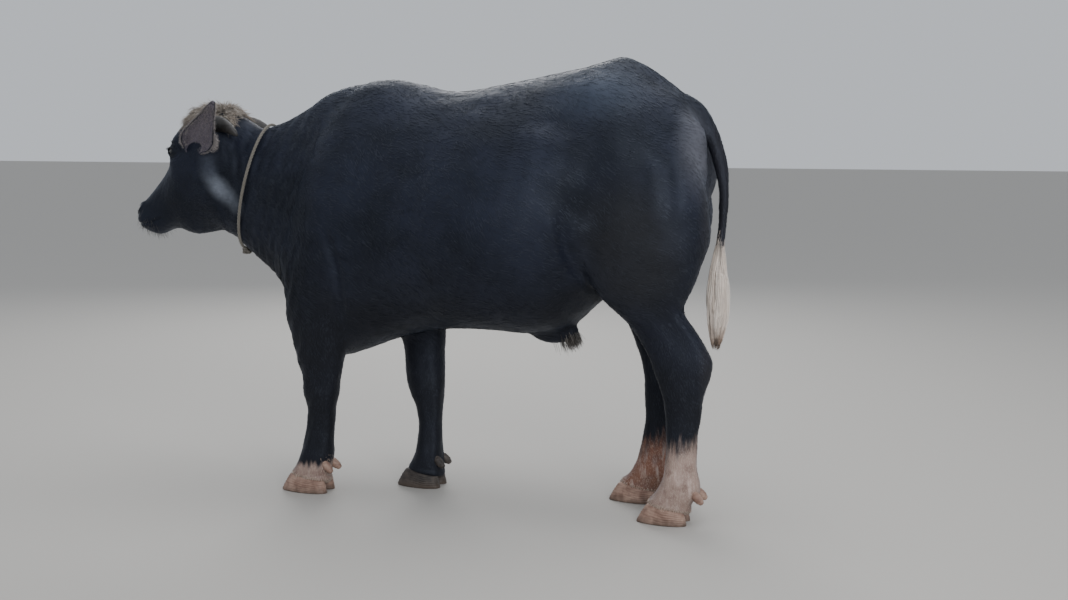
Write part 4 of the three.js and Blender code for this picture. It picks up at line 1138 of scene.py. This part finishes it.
def ear_hair(material):
    """Pale fringes on the rims of both ears, with a tuft low on the rear rim, and soft hair
    inside them in a few rows."""
    rng = np.random.default_rng(62)
    front_rim, rear_rim, tuft = 0, EAR_COLUMNS - 1, 200
    paths, wides, tones = [], [], []
    for ear in EARS.values():
        rings = ear_rings(ear)
        _, _, run, opens, _ = ear_frame(ear)
        for column, count in ((front_rim, 620), (rear_rim, 620)):
            level = rng.uniform(9, 56, count)
            if column == rear_rim:
                level[:tuft] = rng.normal(27, 3.5, tuft)
            low = np.floor(level).astype(int)
            part = (level - low)[:, None]
            root = rings[low, column] * (1 - part) + rings[low + 1, column] * part
            centre = rings[low, 16] * 0.5 + rings[low, 49] * 0.5
            out = unit(root - centre)
            way = unit(out * 0.5 + run * 0.75 + opens * 0.25 + rng.normal(scale=0.2, size=(count, 3)))
            length = rng.uniform(8, 15, count) * (1.15 - 0.5 * level / (EAR_RINGS - 1))
            tone = rng.normal(0.6, 0.15, count)
            if column == rear_rim:
                length[:tuft] = rng.uniform(16, 26, tuft)
                way[:tuft] = way[:tuft] * 0.6 + np.array((-0.45, 0, -0.45))
                tone[:tuft] = rng.normal(0.85, 0.1, tuft)
            paths.append(curved(root - out * 1.0, way, length, 4, out * 2.0))
            wides.append(np.cross(way, opens))
            tones.append(tone)
        count = 950
        level, column = rng.uniform(8, 52, count), rng.uniform(33.5, 64.5, count)
        in_rows = rng.random(count) < 0.6
        rows = rng.choice([35.5, 41, 47, 52, 57, 62.5], count) + rng.normal(scale=0.9, size=count)
        row = np.clip(level, 0, EAR_RINGS - 2).astype(int)
        col = np.clip(np.where(in_rows, rows, column), EAR_COLUMNS, 2 * EAR_COLUMNS - 2).astype(int)
        across = rings[row + 1, np.minimum(col + 1, 2 * EAR_COLUMNS - 1)] - rings[row, col]
        root = rings[row, col] + across * rng.random((count, 1))
        way = unit(run * 0.8 + opens * 0.35 + rng.normal(scale=0.22, size=(count, 3)))
        paths.append(curved(root - opens * 0.8, way, rng.uniform(10, 20, count), 4, opens * 2.0))
        wides.append(np.cross(way, opens))
        tones.append(rng.normal(0.42, 0.13, count) + 0.35 * (col > 60))
    paths, tones = np.vstack(paths), np.clip(np.concatenate(tones), 0, 1)
    halves = taper(rng.uniform(0.4, 0.65, len(paths)), 4)
    strands("ear_fringe", paths, halves, np.vstack(wides), material, "pale_hair", tone=tones)


def switch_hair(material):
    """Long hair from the end of the tail, in locks that hang close and end in a worn point."""
    rng = np.random.default_rng(63)
    locks, each, steps = 74, 24, 11
    turn = rng.uniform(0, 2 * np.pi, locks)
    rank = np.sqrt(rng.uniform(0.02, 1, locks))
    top = rng.uniform(735, 838, locks)
    foot = 487 + np.minimum(rng.exponential(26, locks), 130) * (0.35 + 0.65 * rank)
    wave = rng.uniform(0, 2 * np.pi, (locks, 2))
    lock = np.repeat(np.arange(locks), each)
    count = len(lock)
    share = np.linspace(0, 1, steps)[None]
    start = np.clip(top[lock] + rng.normal(scale=9, size=count), 728, 842)
    end = foot[lock] + np.abs(rng.normal(scale=9, size=count))
    z = start[:, None] + (end - start)[:, None] * share
    hair, tail = np.array(SWITCH, float)[::-1], np.array(TAIL, float)[::-1]
    x, stand = (np.interp(z, hair[:, 1], hair[:, k]) for k in (0, 2))
    tail_x, tail_half = (np.interp(z, tail[:, 2], tail[:, k]) for k in (0, 3))
    free = ramp(share, 0.0, 0.24)
    angle = turn[lock][:, None] + rng.normal(scale=0.25, size=(count, 1)) * (1 - 0.6 * share)
    radius = (tail_half - 1.5) * (1 - free) + stand * rank[lock][:, None] * free
    sway = 3.2 * free * np.sin(share * 5.5 + wave[lock, :1])
    sway = sway + 1.4 * np.sin(share * 13 + wave[lock, 1:]) * free
    own = rng.normal(scale=2.6, size=(count, 2)) * (1 - 0.7 * rng.random((count, 1)))
    middle = tail_x * (1 - free) + x * free
    paths = np.stack([
        middle + radius * np.cos(angle) + sway * 0.6 + own[:, :1] * free * (1.2 - share),
        radius * np.sin(angle) + sway + own[:, 1:] * free * (1.2 - share),
        z,
    ], 2)
    halves = taper(rng.uniform(0.75, 1.2, count), steps, 0.3)
    wide = np.stack([-np.sin(angle[:, 0]), np.cos(angle[:, 0]), np.zeros(count)], 1)
    tone = np.clip(rng.normal(0.5, 0.13, count) + rng.normal(scale=0.14, size=locks)[lock], 0, 1)
    strands("switch_locks", paths, halves, wide, material, "pale_hair", "tail_switch", flat=0.7, tone=tone)


def face_hair(hide, rng, material):
    """Lashes, hairs of the brow, and whiskers of the muzzle and chin."""
    paths, wides = [], []
    for side, _ in SIDES:
        centre, axis, ahead, up = eye_frame(side)
        count = 46
        share = np.linspace(-0.92, 0.92, count) + rng.normal(scale=0.02, size=count)
        root = (centre + ahead * (OPENING[0] * 1.02 * share)[:, None]
                + up * (OPENING[1] * 1.04 * (1 - share ** 2) ** 0.62)[:, None] + axis * 20.6)
        way = axis * 0.8 + up * 0.25 + ahead * (0.35 * share)[:, None]
        way = unit(way + rng.normal(scale=0.09, size=(count, 3)))
        paths.append(curved(root - axis * 2.5, way, rng.uniform(9, 14, count), 6, up * -2.0, 2.0))
        wides.append(np.cross(way, up))
        count = 26
        brow = centre + ahead * rng.uniform(-24, 24, (count, 1))
        brow = brow + up * rng.uniform(22, 32, (count, 1)) + axis * 17
        brow = hide.lay(brow, np.full(count, -1.0))
        way = axis * 0.55 - ahead * 0.55 + up * 0.3 + rng.normal(scale=0.15, size=(count, 3))
        paths.append(curved(brow, way, rng.uniform(9, 18, count), 6, up, 3.0))
        wides.append(np.cross(way, up))
    x, _, z = hide.middles.T
    spots = ((x > 868) & (z < 850) & (z > 780)) * 1.0 + 0.4 * ((x > 900) & (z > 850) & (z < 900))
    count = 230
    at, normal = hide.scatter(count, spots, rng)
    way = normal * 0.75 + np.array((-0.45, 0, -0.25)) + rng.normal(scale=0.14, size=(count, 3))
    paths.append(curved(at - normal, way, rng.uniform(10, 24, count), 6, normal, 5.0))
    wides.append(np.cross(way, normal + (0, 0, 0.3)))
    paths = np.vstack(paths)
    halves = taper(rng.uniform(0.32, 0.5, len(paths)), 6, 0.2)
    strands("lashes_and_whiskers", paths, halves, np.vstack(wides), material, "skin", flat=1.0)


def sheath_hair(hide, rng, material):
    """The tuft at the end of the sheath."""
    x, y, z = hide.middles.T
    count = 340
    at, normal = hide.scatter(count, bell(x, -520, 32) * bell(y, 0, 20) * (z < 530) * (z > 440), rng)
    way = normal * 0.3 + np.array((-0.35, 0, -0.9)) + rng.normal(scale=0.13, size=(count, 3))
    paths = curved(at - normal, way, rng.uniform(14, 34, count), 5, normal, 3.0)
    halves = taper(rng.uniform(0.6, 0.95, count), 5)
    strands("sheath_tuft", paths, halves, np.cross(way, normal), material, "skin",
            tone=rng.uniform(0.3, 0.8, count))


def coronet_hair(hide, rng, material):
    """The fringe that hangs over the pale hooves and round their dewclaws."""
    x, _, z = hide.middles.T
    edges = np.zeros(len(x))
    for name, foot in FEET.items():
        if name != DARK_FOOT:
            rear = row_at(foot["rows"], len(foot["rows"]) - 4)[0][2]
            here = at_foot(hide.middles, foot)
            edges += here * bell(z - coronet_at(foot, x), 5, 7)
            edges += 0.7 * here * bell(x, rear, 12) * bell(z, 84, 26)
    count = 3000
    at, normal = hide.scatter(count, edges, rng)
    way = np.array((0, 0, -1.0)) + normal * 0.16 + rng.normal(scale=0.14, size=(count, 3))
    way = lean(way, normal, 0.12)
    paths = curved(at - normal, way, rng.uniform(8, 15, count), 4, normal * 0.8)
    halves = taper(rng.uniform(0.45, 0.75, count), 4)
    strands("coronet_fringe", paths, halves, np.cross(way, normal), material, "pale_hair",
            tone=np.clip(rng.normal(0.55, 0.15, count), 0, 1))


# Materials

# Settings that many nodes share
TIMES, TIMES_PLUS = {"operation": "MULTIPLY"}, {"operation": "MULTIPLY_ADD"}
PLUS, MINUS = {"operation": "ADD"}, {"operation": "SUBTRACT"}
SMOOTH, COLOUR = {"interpolation_type": "SMOOTHSTEP"}, {"data_type": "RGBA"}
EDGES = {"feature": "DISTANCE_TO_EDGE"}


def linear(text):
    """sRGB hex to linear colour."""
    part = [int(text[i:i + 2], 16) / 255 for i in (1, 3, 5)]
    return tuple(v / 12.92 if v <= 0.04045 else ((v + 0.055) / 1.055) ** 2.4 for v in part) + (1.0,)


def plug(socket, value):
    """Links a socket, or sets it to a number, a vector or an sRGB hex colour."""
    if isinstance(value, bpy.types.NodeSocket):
        socket.id_data.links.new(value, socket)
    elif value is not None:
        socket.default_value = linear(value) if isinstance(value, str) else value


def add(tree, kind, *values, take=None, **settings):
    """Adds a node: settings are its properties, and values go to its open inputs in order, where
    None leaves one as it is. Gives the output named by take, or else the first open one."""
    node = tree.nodes.new("ShaderNode" + kind)
    for key, value in settings.items():
        setattr(node, key, value)
    for socket, value in zip([socket for socket in node.inputs if socket.enabled], values):
        plug(socket, value)
    return node.outputs[take] if take else next(socket for socket in node.outputs if socket.enabled)


def begin(name):
    """A new material: what adds its nodes, its place in metres as in the tables, and what sets
    its shader's sockets and hands it back."""
    material = bpy.data.materials.new(name)
    material.use_nodes = True
    tree = material.node_tree

    def finish(**sockets):
        for key, value in sockets.items():
            plug(tree.nodes["Principled BSDF"].inputs[key.replace("_", " ")], value)
        return material
    place = add(tree, "VectorMath", add(tree, "TexCoord", take="Object"), (FORE_SHIFT * MM, 0, 0), **MINUS)
    return partial(add, tree), place, finish


def markings_and_painted_light(add, place):
    """Colour of the animal by place, and how pale it is there: charcoal trunk, browner below, pale socks and
    a dark muzzle,
    with painted light: a bluish painted sheen on the back, painted highlights on the loin, the rear of the
    rump, below the ear and on the cheek, and painted shade in the nostrils and on the far side's socks.
    Sizes are in metres."""
    def patch(centre, radii, edge=0.35):
        """1 inside an ellipsoid on both sides of the animal, falling to 0 at its surface."""
        off = add("VectorMath", add("VectorMath", both_sides, centre, **MINUS), radii, operation="DIVIDE")
        return add("MapRange", add("VectorMath", off, operation="LENGTH"), 1.0, edge, **SMOOTH)

    def layered(colour, *layers):
        """A colour under layers, each a tint, how strong it is at most and where it shows."""
        for tint, most, share in layers:
            colour = add("Mix", add("Math", share, most, **TIMES), colour, tint, **COLOUR)
        return colour

    x, y, z = add("SeparateXYZ", place).node.outputs
    aside = add("Math", y, operation="ABSOLUTE")
    both_sides = add("CombineXYZ", x, aside, z)
    broad = add("TexNoise", place, 1 / 0.21, 3.0)
    small = add("TexNoise", place, 1 / 0.035, 4.0)
    streaks = add("TexNoise", add("VectorMath", place, (1.0, 1.0, 0.16), **TIMES), 1 / 0.012, 3.0)
    uneven = add("Math", streaks, 0.5, **MINUS)

    # The cheek's painted highlight, where the angle of the jaw catches the light, is a long oval that leans
    # by 45 degrees
    slant = add("Math", add("Math", x, z, **PLUS), 1.53, **MINUS)
    slant = add("Math", slant, 1 / (0.085 * 1.414), **TIMES)
    cross = add("Math", add("Math", x, z, **MINUS), 0.3335, **PLUS)
    cross = add("Math", cross, 1 / (0.032 * 1.414), **TIMES)
    wavy = add("Math", add("Math", small, 0.5, **MINUS), 0.5, cross, **TIMES_PLUS)
    oval = add("MapRange", add("VectorMath", add("CombineXYZ", slant, wavy), operation="LENGTH"),
               1.35, 0.1, **SMOOTH)
    cheek = add("Math", oval, add("MapRange", aside, 0.05, 0.08, **SMOOTH), **TIMES)

    colour = layered(
        "#101219",
        ("#1b1e2a", 1.0, add("MapRange", broad, 0.35, 0.68, **SMOOTH)),
        ("#0a0b0d", 0.25, add("MapRange", small, 0.5, 0.8, **SMOOTH)),
        ("#171413", 0.45, add("MapRange", z, 0.85, 0.42, **SMOOTH)),             # belly and legs
        # the top of the back painted a lighter blue-grey: painted sheen of the light from above
        ("#2a3140", 0.12, add("MapRange", z, 1.05, 1.30, **SMOOTH)),             # back
        # painted highlight of the sky on the loin and hook bone
        ("#414957", 0.6, patch((-0.62, 0.20, 1.26), (0.22, 0.19, 0.14), 0.1)),   # loin
        # painted highlight of reflected light on the rear of the rump
        ("#6b6c75", 0.7, patch((-0.895, 0.11, 1.05), (0.075, 0.14, 0.26), 0.05)),  # behind the rump
        ("#2c2b2a", 0.5, patch((-0.74, 0.22, 0.80), (0.2, 0.15, 0.26))),         # thigh
        ("#2d2b2e", 0.6, add("MapRange", x, -0.91, -0.94, **SMOOTH)),            # tail
        # painted highlight on the angle of the jaw
        ("#7b818c", 0.7, cheek),
        # painted highlight below the root of the ear, the faint upper end of the cheek's
        ("#4d525d", 0.35, patch((0.645, 0.10, 1.02), (0.045, 0.06, 0.07), 0.1)),  # temple
        ("#4b443e", 0.7, patch((0.665, 0.0, 1.20), (0.085, 0.085, 0.055), 0.3)),  # crown
        ("#1d1a19", 0.5, patch((0.78, 0.0, 1.07), (0.07, 0.08, 0.12))),          # face
        ("#0a0b0c", 0.8, patch((0.95, 0.0, 0.855), (0.06, 0.09, 0.055))),        # muzzle
        ("#0b0a0b", 1.0, patch((0.772, 0.079, 1.057), (0.037, 0.037, 0.033), 0.55)),  # round the eye
        # near-black painted shade in the hollow of the nostril
        ("#080707", 1.0, patch((0.93, 0.038, 0.872), (0.021, 0.021, 0.021), 0.6)),    # nostril
    )
    near = add("MapRange", y, -0.02, 0.02, **SMOOTH)
    ragged = add("Math", uneven, 0.12, z, **TIMES_PLUS)
    trailing = add("Math", add("Math", x, 0.8515, **PLUS), 0.3, ragged, **TIMES_PLUS)
    hind = add("Math", add("MapRange", trailing, 0.26, 0.17, **SMOOTH),
               add("MapRange", x, -0.47, -0.52, **SMOOTH), **TIMES)
    left_foot = add("Math", add("MapRange", x, 0.18, 0.2, **SMOOTH), near, **TIMES)
    low = add("MapRange", add("Math", uneven, 0.05, z, **TIMES_PLUS), 0.105, 0.075, **SMOOTH)
    fore = add("Math", low, left_foot, **TIMES)
    pale = layered(
        # the far side's socks are painted darker and browner than the near side's: painted shade
        add("Mix", near, "#855c4a", "#a08a80", **COLOUR),
        ("#bda9a0", 1.0, add("MapRange", streaks, 0.5, 0.74, **SMOOTH)),
        ("#6b5148", 0.55, add("MapRange", small, 0.45, 0.68, **SMOOTH)),
        ("#5e4a40", 0.4, add("MapRange", z, 0.15, 0.03, **SMOOTH)),
    )
    colour = layered(colour, (pale, 1.0, hind), (pale, 1.0, fore))
    return colour, add("Math", hind, fore, operation="MAXIMUM")


def hide_material():
    """Buffalo hide under thin hair: matt charcoal skin with fine creases and the marks of short
    hair, a soft sheen where it turns away, and a moist pebbled muzzle."""
    add, place, finish = begin("buffalo hide")
    colour, _ = markings_and_painted_light(add, place)
    mottle = add("TexNoise", place, 1 / 0.02, 3.0)
    ear = add("Mix", mottle, "#4e4953", "#79727b", **COLOUR)
    colour = add("Mix", add("Attribute", take="Fac", attribute_name="inner_ear"), colour, ear, **COLOUR)

    off = add("VectorMath", place, (0.95, 0.0, 0.855), operation="DISTANCE")
    muzzle = add("MapRange", off, 0.075, 0.045)
    matt = add("MapRange", add("TexNoise", place, 1 / 0.09, 4.0), 0.0, 1.0, 0.46, 0.64)

    # Short hairs are 1.6 mm wide and 22 mm long here, coarser than life so that they show
    turned = add("Mapping", place, None, (0.0, math.radians(-30), 0.0))
    on_side = add("VectorMath", turned, (1 / 0.022, 1 / 0.006, 1 / 0.0016), **TIMES)
    on_leg = add("VectorMath", place, (1 / 0.0016, 1 / 0.0016, 1 / 0.018), **TIMES)
    side_hair, leg_hair = (add("TexNoise", where, 1.0, 2.0) for where in (on_side, on_leg))
    leg = add("MapRange", add("SeparateXYZ", place, take="Z"), 0.62, 0.5)
    # Creases of the hide lie 9 mm apart and the pebbles of the muzzle 3 mm
    crease = add("MapRange", add("TexVoronoi", place, 1 / 0.009, **EDGES), 0.0, 0.12)
    pebble = add("MapRange", add("TexVoronoi", place, 1 / 0.003, **EDGES), 0.0, 0.3)
    low = add("Bump", 0.25, 0.0004, None, add("Mix", muzzle, crease, pebble))
    bump = add("Bump", 0.5, 0.0008, None, add("Mix", leg, side_hair, leg_hair), low)
    return finish(Base_Color=colour, Roughness=add("Mix", muzzle, matt, 0.3), Normal=bump, IOR=1.42,
                  Sheen_Weight=0.12, Sheen_Roughness=0.38, Sheen_Tint="#8ea3c6", Specular_Tint="#c0cce2")


def coat_material():
    """Short dry hair in the same markings, painted highlights and painted shade as the hide, each tuft a
    little lighter or darker, so that the coat reads as smooth, with a faint grain along its lie."""
    add, place, finish = begin("short buffalo hair")
    colour, pale = markings_and_painted_light(add, place)
    tone, along = (add("Attribute", take="Fac", attribute_name=name) for name in ("tone", "along"))
    lighter = add("Mix", 0.15, colour, "#4a4f5a", **COLOUR)
    darker = add("Mix", 0.05, colour, "#08090c", **COLOUR)
    mixed = add("Mix", add("MapRange", tone, 0.15, 0.9), darker, lighter, **COLOUR)
    mixed = add("Mix", add("MapRange", along, 0.2, 1.0, 0.0, 0.09), mixed, "#565960", **COLOUR)
    cream = add("Mix", 0.3, colour, "#d9c9b8", **COLOUR)
    return finish(Base_Color=add("Mix", pale, mixed, cream, **COLOUR), IOR=1.42, Roughness=0.5,
                  Sheen_Weight=0.1, Sheen_Roughness=0.35, Sheen_Tint="#8ea3c6", Specular_Tint="#c0cce2")


def hair_material(name, root, middle, tip, dark_share=0.25):
    """Long coarse hair, dull and dusty, that changes colour from root to tip and lock to lock."""
    add, _, finish = begin(name)
    tone, along = (add("Attribute", take="Fac", attribute_name=name) for name in ("tone", "along"))
    colour = add("Mix", add("MapRange", along, 0.0, 0.5), root, middle, **COLOUR)
    colour = add("Mix", add("MapRange", along, 0.55, 1.0), colour, tip, **COLOUR)
    colour = add("Mix", add("MapRange", tone, 0.5, 0.1, 0.0, dark_share), colour, "#2b211b", **COLOUR)
    colour = add("Mix", add("MapRange", tone, 0.55, 1.0, 0.0, 0.45), colour, "#d9d1c8", **COLOUR)
    return finish(Base_Color=colour, IOR=1.5, Roughness=0.55, Sheen_Weight=0.2, Sheen_Roughness=0.4)


def switch_material():
    """Cream tail hair, stained tan at its worn end and smoky where it leaves the tail."""
    add, place, finish = begin("cream tail hair")
    tone = add("Attribute", take="Fac", attribute_name="tone")
    height = add("SeparateXYZ", place, take="Z")
    ragged = add("Math", add("TexNoise", place, 1 / 0.03, 2.0), 0.06, height, **TIMES_PLUS)
    cream = add("Mix", tone, "#d0bfb1", "#fbf3ea", **COLOUR)
    tan = add("Mix", tone, "#7c5a43", "#b08e72", **COLOUR)
    colour = add("Mix", add("MapRange", ragged, 0.60, 0.525), cream, tan, **COLOUR)
    colour = add("Mix", add("MapRange", ragged, 0.80, 0.88), colour, "#5b524c", **COLOUR)
    return finish(Base_Color=colour, IOR=1.5, Roughness=0.5, Sheen_Weight=0.2)


def horn_material():
    """Horn grown in rings: dull grey-brown, paler on the ridges, with fine fibre along it."""
    add, place, finish = begin("grown horn")
    fibre = add("TexNoise", add("VectorMath", place, (0.25, 1.0, 1.0), **TIMES), 1 / 0.0035, 4.0)
    band = add("TexNoise", add("VectorMath", place, (1.0, 0.2, 0.2), **TIMES), 1 / 0.007, 3.0)
    colour = add("Mix", fibre, "#0f0e0e", "#262321", **COLOUR)
    colour = add("Mix", add("MapRange", band, 0.5, 0.75, 0.0, 0.25), colour, "#45403c", **COLOUR)
    gloss = add("MapRange", fibre, 0.0, 1.0, 0.42, 0.66)
    bump = add("Bump", 0.5, 0.0008, None, add("Math", fibre, band, **PLUS))
    return finish(Base_Color=colour, Roughness=gloss, Normal=bump, IOR=1.54)


def hoof_material(name, dark, pale, stain):
    """Hoof horn grown in layers about 5 mm apart, split by fine upright grain and muddy at the sole."""
    add, place, finish = begin(name)
    band = add("TexNoise", add("VectorMath", place, (0.12, 0.12, 1.0), **TIMES), 1 / 0.005, 3.0)
    grain = add("TexNoise", add("VectorMath", place, (1.0, 1.0, 0.08), **TIMES), 1 / 0.0025, 3.0)
    blotch = add("TexNoise", place, 1 / 0.028, 4.0)
    ragged = add("Math", blotch, 0.03, add("SeparateXYZ", place, take="Z"), **TIMES_PLUS)
    colour = add("Mix", add("MapRange", blotch, 0.35, 0.65), dark, pale, **COLOUR)
    colour = add("Mix", add("MapRange", band, 0.5, 0.7, 0.0, 0.45), colour, stain, **COLOUR)
    colour = add("Mix", add("MapRange", ragged, 0.04, 0.012, 0.0, 0.85), colour, "#4a3c31", **COLOUR)
    gloss = add("MapRange", grain, 0.0, 1.0, 0.45, 0.75)
    bump = add("Bump", 0.55, 0.0007, None, add("Math", grain, band, **PLUS))
    return finish(Base_Color=colour, Roughness=gloss, Normal=bump, IOR=1.54)


def eye_material():
    """A wet eye: near-black brown iris with fine rays, a wide flat pupil and a dull white edge."""
    add, place, finish = begin("wet eye")
    angle, flat = (add("Attribute", take="Fac", attribute_name=name) for name in ("from_middle", "pupil"))
    iris = add("Mix", add("TexNoise", place, 1 / 0.0016, 3.0), "#120a06", "#3a2212", **COLOUR)
    colour = add("Mix", add("MapRange", flat, 34.0, 29.0), iris, "#020202", **COLOUR)
    colour = add("Mix", add("MapRange", angle, 46.0, 54.0), colour, "#6b5347", **COLOUR)
    return finish(Base_Color=colour, IOR=1.38, Roughness=0.12, Coat_Weight=1.0, Coat_Roughness=0.02)


def rope_material():
    """Rope laid from three strands of pale plant fibre, with painted shade darkening the grooves where
    ambient occlusion finds them.
    """
    add, place, finish = begin("laid fibre rope")
    along = add("Attribute", take="Fac", attribute_name="along")
    stretched = add("CombineXYZ", add("Math", along, 0.0001, **TIMES))
    fibre = add("TexNoise", add("VectorMath", place, stretched, **PLUS), 1 / 0.0014, 3.0)
    worn = add("MapRange", add("TexNoise", place, 1 / 0.05, 3.0), 0.45, 0.7, 0.0, 0.4)
    # ambient occlusion darkens the grooves between the strands: painted shade
    groove = add("AmbientOcclusion", None, 0.004, take="AO", samples=8, only_local=True)
    colour = add("Mix", fibre, "#504d47", "#7f7a71", **COLOUR)
    colour = add("Mix", worn, colour, "#524d45", **COLOUR)
    colour = add("Mix", add("MapRange", groove, 0.75, 0.35, 0.0, 0.7), colour, "#463c30", **COLOUR)
    bump = add("Bump", 0.7, 0.0006, None, fibre)
    return finish(Base_Color=colour, Normal=bump, IOR=1.5, Roughness=0.85, Sheen_Weight=0.3)


def floor_material():
    """Pale painted floor, matt."""
    _, _, finish = begin("pale painted floor")
    return finish(Base_Color="#b4b1ac", Roughness=0.8)


# Camera, floor and light

def studio():
    """The photo's camera, a pale floor, and soft light from three sides."""
    scene = bpy.context.scene
    turn, pitch = math.radians(CAMERA_TURN), math.atan(HORIZON_RISE / FOCAL)
    ahead = Vector((math.sin(turn) * math.cos(pitch), -math.cos(turn) * math.cos(pitch), -math.sin(pitch)))
    lens = bpy.data.cameras.new("camera")
    lens.sensor_width = 36
    lens.lens = 36 * FOCAL / PHOTO_WIDTH
    camera = placed("camera", lens)
    camera.location = (FORE_SHIFT * MM - 1.61, 4.0, 1.156)
    camera.rotation_euler = ahead.to_track_quat("-Z", "Y").to_euler()
    scene.camera = camera

    mesh = bpy.data.meshes.new("floor")
    mesh.from_pydata([(-30, -30, 0), (30, -30, 0), (30, 30, 0), (-30, 30, 0)], [], [(0, 1, 2, 3)])
    mesh.materials.append(floor_material())
    placed("floor", mesh)

    world = bpy.data.worlds.new("studio")
    world.use_nodes = True
    sky = world.node_tree.nodes["Background"].inputs
    plug(sky["Color"], "#e6ebf2")
    plug(sky["Strength"], 0.75)
    scene.world = world
    for name, place, aim, size, power in (
        ("top softbox", (-0.6, -0.4, 4.2), (-0.1, 0, 1.0), 3.2, 75),
        ("camera side softbox", (-3.0, 4.2, 2.6), (0, 0, 0.8), 3.0, 150),
        ("back softbox", (1.5, -4.0, 3.0), (0, 0, 1.0), 2.6, 95),
    ):
        lamp = bpy.data.lights.new(name, "AREA")
        lamp.shape = "DISK"
        lamp.size = size
        lamp.energy = power
        obj = placed(name, lamp)
        obj.location = place
        obj.rotation_euler = (Vector(aim) - Vector(place)).to_track_quat("-Z", "Y").to_euler()


studio()
skin = make_skin(hide_material())
eyeballs(eye_material())
horns(horn_material())
claws({"hoof_pale": hoof_material("pale hoof horn", "#7a5d50", "#a5897a", "#60483d"),
       "hoof_dark": hoof_material("dark hoof horn", "#2a2523", "#4a423d", "#1c1918")})
collar(rope_material())
hide = coats(skin, coat_material())
poll_hair(hide, hair_material("poll hair", "#352e28", "#83786c", "#b9ac9e", 0.4))
ear_hair(hair_material("ear fringe", "#655e62", "#958d90", "#c0b9b6"))
switch_hair(switch_material())
bristles = hair_material("dark bristles", "#141214", "#2b2624", "#4a423c")
small_hair_rng = np.random.default_rng(64)
face_hair(hide, small_hair_rng, bristles)
sheath_hair(hide, small_hair_rng, bristles)
coronet_hair(hide, small_hair_rng, hair_material("sock fringe", "#9a7f70", "#bda696", "#d6c6b8"))
